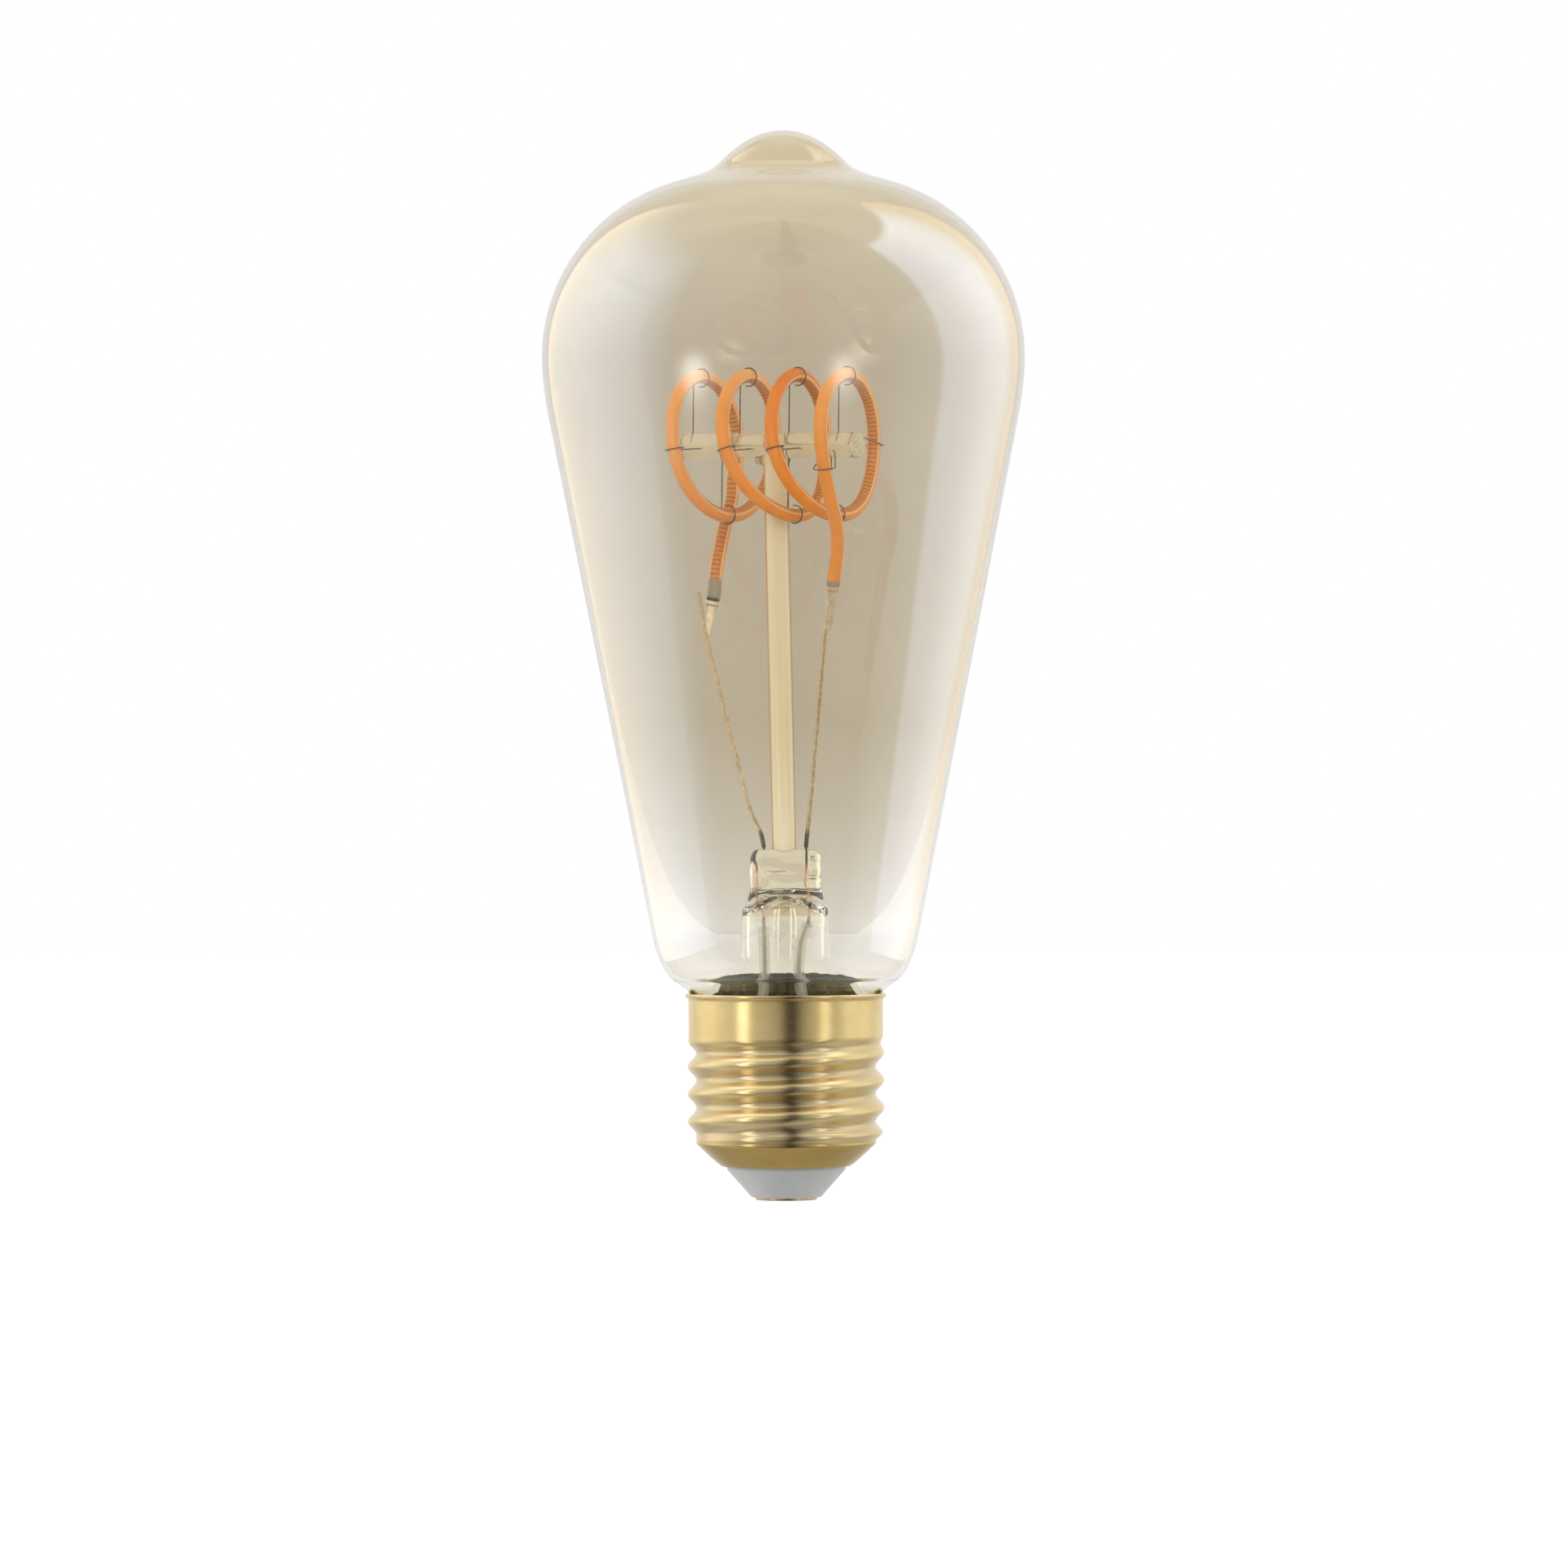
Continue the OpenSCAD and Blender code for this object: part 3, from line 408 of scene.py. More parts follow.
def ellipsoid(centre, size, rings=12, sides=24):
    """Points and faces of a closed egg shape, with its faces outward."""
    unit = [Vector((0, 0, -1))]
    for i in range(1, rings):
        a = math.pi * i / rings
        unit += [polar(math.sin(a), j / sides, -math.cos(a)) for j in range(sides)]
    unit.append(Vector((0, 0, 1)))
    faces = fan(1, sides, 0, True) + skin(rings - 1, sides, 1)
    faces += fan(1 + (rings - 2) * sides, sides, len(unit) - 1)
    return [Vector(centre) + p * Vector(size) for p in unit], faces


def add_attribute(piece, name, values):
    """Gives each point of a piece a number that its material reads."""
    piece.data.attributes.new(name, "FLOAT", "POINT").data.foreach_set("value", values)


def place(piece, material, slot, *nodes):
    """Gives a piece its material and its body, and hides the CAD nodes it stands for. The slot is
    not used.
    """
    piece.data.materials.append(material)
    if nodes:
        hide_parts(*nodes)
    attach(piece, "root")


# ---- materials

class Shading:
    """Short ways to build nodes round the shader of a material, a light or the world."""

    def __init__(self, owner, kind):
        owner.use_nodes = True
        self.nodes, self.links = owner.node_tree.nodes, owner.node_tree.links
        self.shader = next(n for n in self.nodes if n.type == kind)

    def feed(self, socket, value):
        if isinstance(value, bpy.types.NodeSocket):
            self.links.new(value, socket)
        else:
            socket.default_value = value

    def set(self, socket, value):
        self.feed(self.shader.inputs[socket], value)

    def node(self, kind, **values):
        made = self.nodes.new("ShaderNode" + kind)
        for key, value in values.items():
            self.feed(made.inputs[key.replace("_", " ")], value)
        return made

    def math(self, operation, *values, kind="Math", output=0):
        made = self.node(kind)
        made.operation = operation
        for socket, value in zip(made.inputs, values):
            self.feed(socket, value)
        return made.outputs[output]

    def product(self, a, b, *more):
        made = self.math("MULTIPLY", a, b)
        return self.product(made, *more) if more else made

    def ramp(self, factor, *stops):
        """Ramp from stops of (position, colour), where a colour may be one grey value."""
        made = self.node("ValToRGB", Fac=factor)
        elements = made.color_ramp.elements
        while len(elements) < len(stops):
            elements.new(0.5)
        for element, (position, colour) in zip(elements, stops):
            element.position = position
            element.color = (*colour, 1) if isinstance(colour, tuple) else (*[colour] * 3, 1)
        return made.outputs["Color"]

    def step(self, value, low, high):
        """Smooth rise from 0 to 1 between two values."""
        made = self.node("MapRange", Value=value, From_Min=low, From_Max=high)
        made.interpolation_type = "SMOOTHSTEP"
        return made.outputs["Result"]

    def angles(self, vector):
        """Degrees round from the front, and degrees up."""
        x, y, z = self.node("SeparateXYZ", Vector=vector).outputs
        flat = self.math("SQRT", self.math("ADD", self.product(x, x), self.product(y, y)))
        around = self.math("ARCTAN2", x, self.product(y, -1))
        return self.math("DEGREES", around), self.math("DEGREES", self.math("ARCTAN2", z, flat))

    def from_point(self, point):
        """The lit place measured from a point."""
        lit = self.node("NewGeometry").outputs["Position"]
        return self.math("SUBTRACT", lit, Vector(point) * MM, kind="VectorMath")


class Finish(Shading):
    """A Principled material with procedural detail in the object's own space."""

    def __init__(self, name, roughness, metallic=0.0, **sockets):
        self.material = bpy.data.materials.new(name)
        super().__init__(self.material, "BSDF_PRINCIPLED")
        self.place = self.node("TexCoord").outputs["Object"]
        self.set("Roughness", roughness)
        self.set("Metallic", metallic)
        for key, value in sockets.items():
            self.set(key.replace("_", " "), value)

    def stretched(self, *factors):
        """The object's coordinates stretched along each axis."""
        return self.node("Mapping", Vector=self.place, Scale=factors).outputs["Vector"]

    def height(self, span=0.1):
        """Height above the contact as a share of a span in metres."""
        return self.math("DIVIDE", self.node("SeparateXYZ", Vector=self.place).outputs["Z"], span)

    def noise(self, size, detail=4.0, rough=0.55, vector=None):
        """Noise whose features are about size millimetres across."""
        return self.node("TexNoise", Vector=vector or self.place, Scale=1 / (size * MM),
                         Detail=detail, Roughness=rough).outputs["Fac"]

    def mix(self, factor, a, b, blend="MIX"):
        made = self.node("Mix")
        made.data_type = "RGBA"
        made.blend_type = blend
        for socket, value in zip((made.inputs[0], *made.inputs[6:8]), (factor, a, b)):
            self.feed(socket, (*value, 1) if isinstance(value, tuple) else value)
        return made.outputs[2]

    def attribute(self, name):
        made = self.node("Attribute")
        made.attribute_name = name
        return made.outputs["Fac"]

    def paint(self, colour):
        self.set("Base Color", colour)
        return self

    def shades(self, size, dark, light, detail=4.0, low=0.3, high=0.7):
        """Two shades in cloudy noise."""
        return self.ramp(self.noise(size, detail), (low, dark), (high, light))

    def rough(self, factor, low, high):
        made = self.node("MapRange", Value=factor, To_Min=low, To_Max=high)
        self.set("Roughness", made.outputs["Result"])

    def bump(self, height, depth):
        """Bump whose height of 1 is depth millimetres. Returns the finished material."""
        self.set("Normal", self.node("Bump", Height=height, Distance=depth * MM).outputs["Normal"])
        return self.material


def tinted_glass():
    """Clear glass whose amber coat thins out towards the neck."""
    f = Finish("tinted_glass", 0.0, Transmission_Weight=1.0, IOR=1.5)
    coat = f.ramp(f.height(0.15), (0.19, (0.9, 0.875, 0.83)), (0.213, (0.83, 0.805, 0.755)),
                  (0.228, (0.82, 0.795, 0.745)), (0.242, (0.86, 0.83, 0.77)),
                  (0.29, (0.795, 0.752, 0.675)), (0.342, (0.75, 0.702, 0.61)),
                  (0.42, (0.705, 0.648, 0.54)), (0.74, (0.705, 0.65, 0.553)),
                  (0.82, (0.76, 0.705, 0.6)), (0.9, (0.765, 0.69, 0.52)))
    return f.paint(f.mix(1.0, coat, f.shades(22, 0.97, 1.0, 2.0), "MULTIPLY")).material


def stem_glass():
    """Thin clear flare below, and a thick greenish block above."""
    f = Finish("stem_glass", 0.0, Transmission_Weight=1.0, IOR=1.5)
    f.paint(f.ramp(f.height(), (0.368, (0.985, 0.98, 0.95)), (0.385, (0.97, 0.94, 0.83)),
                   (0.42, (0.985, 0.965, 0.84))))
    # The ramp holds the index of refraction less 1
    less_1 = f.ramp(f.height(), (0.314, 0.003), (0.321, 0.17), (0.375, 0.24), (0.4, 0.5))
    f.set("IOR", f.math("ADD", less_1, 1.0))
    return f.bump(f.noise(1.6, 3.0), 0.02)


def post_glass():
    f = Finish("post_glass", 0.06, Transmission_Weight=0.35, IOR=1.5)
    streaks = f.noise(1.2, 3.0, vector=f.stretched(1, 1, 0.05))
    body = f.ramp(streaks, (0.3, (0.96, 0.87, 0.66)), (0.7, (1.0, 0.94, 0.77)))
    # Painted edge shade: thin lines painted into the rod's colour, orange on its left and dark on
    # its right, stand in for the dark edges that refraction gives a glass rod
    painted_edge_shade = f.ramp(f.attribute("side"), (0.02, (0.45, 0.2, 0.06)), (0.07, (0.85, 0.7, 0.5)),
                   (0.1, (1, 1, 1)), (0.5, (0.97, 0.99, 0.94)), (0.9, (1, 1, 1)),
                   (0.95, (0.6, 0.55, 0.4)), (0.98, (0.3, 0.26, 0.16)))
    return f.paint(f.mix(1.0, body, painted_edge_shade, "MULTIPLY")).bump(streaks, 0.015)


def bar_glass():
    """Clear rod with one rough-cut end."""
    f = Finish("bar_glass", 0.02, IOR=1.47)
    along = f.math("DOT_PRODUCT", f.place, AXIS_DIR / (BAR_L * MM), kind="VectorMath", output=1)
    along = f.math("SUBTRACT", along, BAR_CENTRE.dot(AXIS_DIR) / BAR_L)
    end = f.ramp(along, (0.484, 0.0), (0.492, 1.0))
    f.set("Transmission Weight", f.math("SUBTRACT", 0.8, f.product(end, 0.6)))
    f.rough(end, 0.02, 0.5)
    grain = f.shades(0.35, (0.62, 0.6, 0.42), (0.93, 0.89, 0.68), low=0.35, high=0.65)
    f.paint(f.mix(end, (0.96, 0.9, 0.7), grain))
    return f.bump(f.noise(2.2, 2.0), 0.03)


def brass():
    f = Finish("cap_brass", 0.2, 1.0)
    crest = f.attribute("crest")
    tone_and_painted_light = f.ramp(f.noise(5, 5.0, 0.6), (0.3, (0.81, 0.61, 0.26)), (0.7, (0.91, 0.71, 0.345)))
    # Painted highlight: the thread's crests are a lighter brass
    tone_and_painted_light = f.mix(f.product(crest, 0.3), tone_and_painted_light, (0.93, 0.77, 0.45))
    # Painted shade: the thread's valleys are a duller, less orange brass
    thread = f.ramp(f.height(), (0.078, 0.0), (0.086, 0.75), (0.2, 0.75), (0.215, 0.0))
    valley = f.product(thread, f.math("SUBTRACT", 1.0, crest))
    tone_and_painted_light = f.mix(valley, tone_and_painted_light, (0.74, 0.6, 0.36))
    # Painted shade: the cone below the thread, which faces down, is darkened
    painted_cone_shade = f.ramp(f.height(), (0.073, (0.66, 0.59, 0.42)), (0.079, (1, 1, 1)))
    f.paint(f.mix(1.0, tone_and_painted_light, painted_cone_shade, "MULTIPLY"))
    grain = f.noise(0.16, 2.0)
    streaks = f.noise(0.5, 3.0, vector=f.stretched(0.12, 0.12, 1))
    f.rough(f.mix(0.5, streaks, grain), 0.12, 0.32)
    return f.bump(f.mix(0.4, grain, streaks), 0.006)


def moulded_grey():
    f = Finish("moulded_grey", 0.38)
    f.paint(f.shades(2.5, (0.81, 0.82, 0.81), (0.89, 0.89, 0.875)))
    f.rough(f.noise(1.0, 3.0), 0.32, 0.48)
    return f.bump(f.noise(0.3, 3.0), 0.008)


def phosphor():
    """Orange silicone, with a clear inner face through which the row of chips shows."""
    f = Finish("phosphor_silicone", 0.38, Subsurface_Weight=0.12,
               Subsurface_Scale=0.5 * MM, Specular_IOR_Level=0.35)
    f.set("Subsurface Radius", (1.0, 0.45, 0.15))
    along, inner = f.attribute("along"), f.attribute("inner")
    body = f.shades(1.4, (0.89, 0.275, 0.01), (0.98, 0.36, 0.022), 3.0)
    # Painted highlight and painted shade by coil angle: the pale attribute lightens the orange and
    # the other darkens it
    body = f.mix(f.attribute("pale"), body, (1.0, 0.6, 0.24))
    body = f.mix(f.attribute("deep"), body, (0.82, 0.22, 0.004))
    # The marks: one dark chip with a lighter gap to each 0.65 mm, a little uneven in width
    beat = f.math("FRACT", f.math("ADD", f.math("DIVIDE", along, 0.65),
                                  f.product(f.noise(0.5, 1.0), 0.35)))
    chip = f.ramp(beat, (0.28, 0.15), (0.36, 1.0), (0.45, 0.55), (0.55, 0.6), (0.64, 1.0),
                  (0.72, 0.15))
    across = f.ramp(inner, (0.66, 0.0), (0.76, 1.0))
    body = f.mix(f.product(across, 0.45), body, (0.7, 0.3, 0.07))
    body = f.mix(f.product(chip, across, 0.8), body, (0.2, 0.07, 0.02))
    edge = f.ramp(inner, (0.3, 0.0), (0.42, 0.75), (0.6, 0.75), (0.7, 0.0))
    body = f.mix(edge, body, (0.95, 0.66, 0.36))
    body = f.mix(f.attribute("clear"), body, (0.36, 0.32, 0.25))
    crimp = f.ramp(along, (0.25, 1.0), (0.4, 0.0))
    return f.paint(f.mix(crimp, body, (0.06, 0.05, 0.04))).bump(f.noise(0.5, 3.0), 0.012)


def nickel_dark():
    """Nickel wire whose lowest stretch is burnt dark by the sealing flame."""
    f = Finish("nickel_wire", 0.33, 0.85)
    burnt = f.ramp(f.height(), (0.485, 1.0), (0.492, 0.0))
    bright = f.shades(0.6, (0.42, 0.33, 0.19), (0.72, 0.61, 0.42))
    return f.paint(f.mix(burnt, bright, (0.12, 0.11, 0.09))).bump(f.noise(0.25, 3.0), 0.02)


def copper():
    """Copper-clad wire, burnt dark where it enters the press."""
    f = Finish("copper_clad", 0.3, 0.85)
    burnt = f.ramp(f.height(), (0.436, 0.0), (0.447, 1.0))
    bright = f.shades(0.7, (0.4, 0.19, 0.1), (0.78, 0.44, 0.26), low=0.35, high=0.6)
    return f.paint(f.mix(burnt, bright, (0.07, 0.06, 0.05))).material


def woven_sleeve():
    """Milky varnished glass-fibre, through which the wire shows."""
    f = Finish("woven_sleeve", 0.15, Transmission_Weight=0.76, IOR=1.06)
    weave = f.node("TexWave", Vector=f.place, Scale=700, Distortion=1.5)
    weave.bands_direction = "DIAGONAL"
    f.paint(f.shades(1.1, (0.85, 0.8, 0.68), (1.0, 0.97, 0.88)))
    return f.bump(weave.outputs["Fac"], 0.02)


def rough_potting():
    f = Finish("potting", 0.75)
    grain = f.noise(0.7, 6.0, 0.7)
    f.paint(f.ramp(grain, (0.35, (0.012, 0.01, 0.003)), (0.5, (0.045, 0.038, 0.012)),
                   (0.64, (0.1, 0.085, 0.03)), (0.76, (0.36, 0.32, 0.17))))
    return f.bump(grain, 0.3)


def plain(name, colours, roughness, metallic=0.0, size=0.6, depth=0.02, grain=None, detail=4.0,
          **spread):
    """A finish of two shades, or of one colour's close shades, and a fine bump of its depth."""
    f = Finish(name, roughness, metallic)
    if not isinstance(colours[0], tuple):
        colours = (tuple(c * 0.8 for c in colours), tuple(min(1, c * 1.15) for c in colours))
    f.paint(f.shades(size, *colours, **spread))
    return f.bump(f.noise(grain or size / 2, detail), depth) if depth else f.material


# ---- glass envelope

def envelope_outline():
    neck = [(NECK_R, NECK_BOTTOM), (NECK_R, 24.6)]
    neck += bezier((NECK_R, 25.6), (NECK_R, 27.2), (NECK_R + 0.8, 27.7), NECK_TURN, 16)
    foot = bezier(NECK_TURN, (15.9, 29.7), TAPER_FOOT - Vector((0.6, 3)), TAPER_FOOT, 18)[1:]
    taper = [TAPER_FOOT.lerp(TAPER_HEAD, k / 24) for k in range(1, 24)]
    turn = bezier(TAPER_HEAD, TAPER_HEAD + Vector((0.55, 2.9)), (GLASS_R, WIDEST_Z - 3),
                  (GLASS_R, WIDEST_Z), 12)
    centre = Vector((GLASS_R - SHOULDER_R, WIDEST_Z))
    shoulder = arc(centre, SHOULDER_R, 0, SHOULDER_ANGLE, 40)[1:]
    nipple = bezier(shoulder[-1], NIPPLE_FOOT + Vector((4.8, -2.02)),
                    NIPPLE_FOOT + Vector((1.6, -1.5)), NIPPLE_FOOT, 16)[1:]
    tip = bezier(NIPPLE_FOOT, NIPPLE_FOOT + Vector((-1.6, 1.55)), (4.2, GLASS_TOP),
                 (0, GLASS_TOP), 20)[1:]
    return neck + foot + taper + turn + shoulder + nipple + tip


def blown(p):
    """Pulls a point of the envelope in by the few hundredths that blown glass varies."""
    r = Vector((p.x, p.y, 0)).length
    if r < 1:
        return p
    sag = 0.04 * (1 + noise.noise(p * 0.045))
    return Vector((p.x * (1 - sag / r), p.y * (1 - sag / r), p.z))


def make_envelope():
    outline = envelope_outline()
    outline += shifted(outline, GLASS_WALL)[::-1]
    piece = lathe("glass_envelope_blown", outline, 256, 60, blown)
    place(piece, tinted_glass(), "tinted_glass", "glass_envelope")


# ---- glass stem

def squircle(half_w, half_t, power, sides):
    points = []
    for j in range(sides):
        a = 2 * math.pi * j / sides
        c, s = math.cos(a), math.sin(a)
        points.append((half_w * math.copysign(abs(c) ** (2 / power), c),
                       half_t * math.copysign(abs(s) ** (2 / power), s)))
    return points


def ripple(p, depth, size):
    """Uneven surface of glass that was pinched while hot."""
    d = noise.noise_vector(p / size)
    return p + Vector((d.x, d.y, d.z * 0.6)) * depth


def make_stem():
    """Flare and press, which are one body of glass once they are sealed."""
    sides = 96
    rings = []

    def ring(half_w, half_t, power, z, depth=0.0, size=1.6):
        flat = squircle(half_w, half_t, power, sides)
        rings.append([ripple(Vector((x, y, z)), depth, size) for x, y in flat])

    outside = [(SKIRT_R, NECK_BOTTOM + 0.1), (SKIRT_R, 25)]
    outside += bezier((SKIRT_R, 26), (SKIRT_R, 31), (FLARE_R + 0.35, 29.9), (FLARE_R, BELL_Z), 36)
    outside += [(FLARE_R, BELL_Z + (FLARE_TOP - BELL_Z) * k / 8) for k in range(1, 9)]
    inside = shifted(outside, FLARE_WALL)[::-1]

    # Closed top of the bore, from the pole outwards and down
    dome_top = 39.7
    dome_h = dome_top - FLARE_TOP
    bore_r = FLARE_R - FLARE_WALL
    for k in range(1, 14):
        a = math.pi / 2 * k / 13
        z = FLARE_TOP + dome_h * math.cos(a)
        half_w = bore_r * math.sin(a)
        half_t = bore_r * math.sin(a) * (0.35 + 0.65 * smooth_step(k / 13))
        ring(half_w, half_t, 2, z, 0.28 * math.cos(a), 1.3)
    for r, z in inside + outside:
        ring(r, r, 2, z)
    # Shoulder, from the round tube to the pinched block
    steps = 22
    for k in range(1, steps + 1):
        t = smooth_step(k / steps)
        z = FLARE_TOP + (PRESS_BOTTOM - FLARE_TOP) * k / steps
        ring(FLARE_R + (PRESS_HALF_W - FLARE_R) * t, FLARE_R + (PRESS_HALF_T - FLARE_R) * t,
             2 + 1.6 * t, z, 0.05 + 0.17 * t)
    round_from = PRESS_TOP - PRESS_ROUND_W
    for k in range(1, 19):
        z = PRESS_BOTTOM + (round_from - PRESS_BOTTOM) * k / 18
        ring(PRESS_HALF_W, PRESS_HALF_T, 3.6, z, 0.22 - 0.12 * k / 18)
    for k in range(1, 12):
        a = math.pi / 2 * k / 12
        cut_in = 1 - math.cos(a)
        ring(PRESS_HALF_W - PRESS_ROUND_W * cut_in, PRESS_HALF_T - PRESS_ROUND_T * cut_in, 3.6,
             round_from + PRESS_ROUND_W * math.sin(a), 0.08)
    for f in (0.75, 0.5, 0.25):
        ring((PRESS_HALF_W - PRESS_ROUND_W) * f, (PRESS_HALF_T - PRESS_ROUND_T) * f, 3,
             PRESS_TOP, 0.04)

    points = [p for row in rings for p in row]
    faces = skin(len(rings), sides)
    for row, pole, turned in ((0, Vector((0, 0, dome_top)), True),
                              (len(rings) - 1, Vector((0, 0, PRESS_TOP)), False)):
        faces += fan(row * sides, sides, len(points), turned)
        points.append(pole)

    # Hollows: the blow hole, a flat bubble above it, and small seeds. Their faces look inwards.
    hollows = [((-0.7, -0.3, 40.55), (2.0, 0.6, 0.62)), ((-1.0, -0.5, 43.5), (1.35, 0.3, 0.11)),
               ((3.4, -0.6, 42.7), (0.5, 0.3, 0.35)), ((3.2, 0.2, 41.0), (0.7, 0.4, 0.25)),
               ((-3.3, 0.3, 41.3), (0.5, 0.35, 0.2)), ((3.5, -0.3, 45.2), (0.42, 0.3, 0.28))]
    for centre, size in hollows:
        extra, more = ellipsoid(centre, size)
        base = len(points)
        points += [ripple(p, 0.1, 0.9) for p in extra]
        faces += [tuple(base + i for i in f[::-1]) for f in more]
    piece = add_mesh("stem_pressed_glass", points, faces, 70, recalculate=False)
    place(piece, stem_glass(), "stem_glass", "stem_flare", "stem_press")


def make_soot():
    """Two dark spots, where the blow hole opens."""
    spots = []
    for centre, size in (((-1.95, -0.55, 40.3), (0.62, 0.16, 0.5)),
                         ((0.25, -0.55, 40.5), (0.62, 0.16, 0.42))):
        extra, more = ellipsoid(centre, size, 10, 20)
        spots.append(add_mesh("spot", [ripple(p, 0.12, 0.7) for p in extra], more, 70))
    soot = plain("soot_glass", ((0.03, 0.035, 0.028), (0.13, 0.14, 0.1)), 0.3, size=0.4, depth=0,
                 low=0.35, high=0.75)
    place(joined("blow_hole_soot", spots), soot, "stem_glass")


def tube(name, route, outer_r, bore_r, sides, depth, size):
    """An open tube along a route, with a slightly uneven surface."""
    outer = sweep_rings(route, circle(outer_r, sides))
    inner = sweep_rings(route, circle(bore_r, sides))
    base = len(outer)
    faces = skin(len(route), sides) + skin(len(route), sides, base, True)
    for row, turned in ((0, True), (len(route) - 1, False)):
        for j in range(sides):
            k = (j + 1) % sides
            a, b = row * sides + j, row * sides + k
            rim = (a, b, base + b, base + a)
            faces.append(rim[::-1] if turned else rim)
    return add_mesh(name, [ripple(p, depth, size) for p in outer + inner], faces, 50)


def make_exhaust():
    route = [EXHAUST_TIP.lerp(EXHAUST_TOP, k / 30) for k in range(31)]
    piece = tube("exhaust_glass_tube", route, EXHAUST_R, EXHAUST_BORE_R, 48, 0.04, 2.5)
    place(piece, STEM_GLASS, "stem_glass", "exhaust_tube")


def make_post_and_bar():
    post = rod_between("stem_post_rod", POST_FOOT, POST_HEAD, POST_D / 2, 0.15)
    sides = []
    for v in post.data.vertices:
        share = (v.co.z / MM - POST_FOOT.z) / (POST_HEAD.z - POST_FOOT.z)
        sides.append(0.5 + (v.co.x / MM - POST_FOOT.lerp(POST_HEAD, share).x) / POST_D)
    add_attribute(post, "side", sides)
    place(post, post_glass(), "post_glass", "stem_post")
    half = AXIS_DIR * (BAR_L / 2)
    bar = rod_between("crossbar_rod", BAR_CENTRE - half, BAR_CENTRE + half, BAR_D / 2, 0.22)
    place(bar, bar_glass(), "post_glass", "crossbar")
    edge = arc((BEAD_R - BEAD_H / 2, 0), BEAD_H / 2, -90, 90, 16)
    bead = lathe("post_bead_glass", [(0, -BEAD_H / 2), *edge, (0, BEAD_H / 2)], 64, 35,
                 lambda p: ripple(p, 0.16, 1.2) + BEAD_CENTRE)
    place(bead, STEM_GLASS, "stem_glass", "post_bead")


# ---- filament coil

def eased_turn(t):
    if t < -EASE_ANGLE:
        return 0
    if t < EASE_ANGLE:
        return (t + EASE_ANGLE) ** 2 / (4 * EASE_ANGLE)
    return t


def lean(turn):
    k = math.floor((turn - 90) / 360)
    if k < 0 or k >= len(BOTTOM_LEAN):
        return 0
    return BOTTOM_LEAN[k] * ((1 - math.sin(math.radians(turn))) / 2) ** 3


def coil_s(turn):
    return FIRST_CROWN + COIL_PITCH * eased_turn(turn - 90) / 360 + lean(turn)


def coil_radial(turn):
    a = math.radians(turn)
    return math.cos(a) * BACK_DIR + math.sin(a) * UP_DIR


def coil_point(turn):
    return BAR_CENTRE + coil_s(turn) * AXIS_DIR + COIL_R * coil_radial(turn)


def filament_route(parts):
    turns = range(COIL_START, COIL_END + 1, COIL_STEP)
    points = [Vector(p) for p in LEFT_LEG] + [coil_point(t) for t in turns]
    points += [Vector(p) for p in RIGHT_LEG]
    inward = [-coil_radial(COIL_START)] * len(LEFT_LEG) + [-coil_radial(t) for t in turns]
    inward += [-coil_radial(COIL_END)] * len(RIGHT_LEG)
    return spline(points, parts), spline(inward, parts)


def painted_light_at(turn):
    """How strong the painted highlight, or below 0 the painted shade, on the orange is at a coil
    angle.
    """
    for (a, low), (b, high) in zip(PAINTED_LIGHT_BY_ANGLE, PAINTED_LIGHT_BY_ANGLE[1:]):
        if turn <= b:
            return low + (high - low) * max(0, turn - a) / (b - a)
    return PAINTED_LIGHT_BY_ANGLE[-1][1]


def make_silicone():
    """Round silicone, with the attributes that its material reads."""
    sides = 24
    route, inward = filament_route(5)
    outline = circle(FILAMENT_R, sides)
    piece = sweep("filament_phosphor", route, outline, inward, crease=70)
    along = [0.0, *accumulate((b - a).length for a, b in zip(route, route[1:]))]
    total = along[-1]
    values = []
    for i, (d, (_, _, n, b), toward) in enumerate(zip(along, frames(route, inward), inward)):
        # Painted highlight and painted shade of the orange at this point's coil angle
        painted_light = painted_light_at(COIL_START + COIL_STEP * (i / 5 - len(LEFT_LEG)))
        clear = max(smooth_step((CLEAR_L - d) / 0.8), smooth_step((d - total + 0.9) / 0.4))
        facing = toward.normalized() * math.cos(STRIP_TWIST) + AXIS_DIR * math.sin(STRIP_TWIST)
        for x, y in outline:
            inner = max(0, (n * x + b * y).dot(facing) / FILAMENT_R)
            values.append((d, inner, clear, max(0, painted_light), max(0, -painted_light)))
    # The last two points are the middles of the two ends
    for name, numbers in zip(("along", "inner", "clear", "pale", "deep"), zip(*values)):
        add_attribute(piece, name, [*numbers, numbers[0], numbers[-1]])
    place(piece, phosphor(), "phosphor_silicone", "filament_silicone")


def hook_route(turn):
    """A straight shank up from the bar beside the filament, and a loop round the filament."""
    radial = coil_radial(turn)
    side = radial.cross(coil_point(turn + 1) - coil_point(turn - 1)).normalized()
    middle = coil_point(turn) - (LOOP_R - FILAMENT_R - HOOK_WIRE_R - CAST_GAP) * radial
    top = middle - LOOP_R * side
    foot = top - ((top - BAR_CENTRE).dot(radial) - 0.3) * radial
    route = [foot.lerp(top, k / 6) for k in range(6)]
    for a in range(270, -21, -10):
        t = math.radians(a)
        route.append(middle + LOOP_R * (math.sin(t) * side - math.cos(t) * radial))
    return route


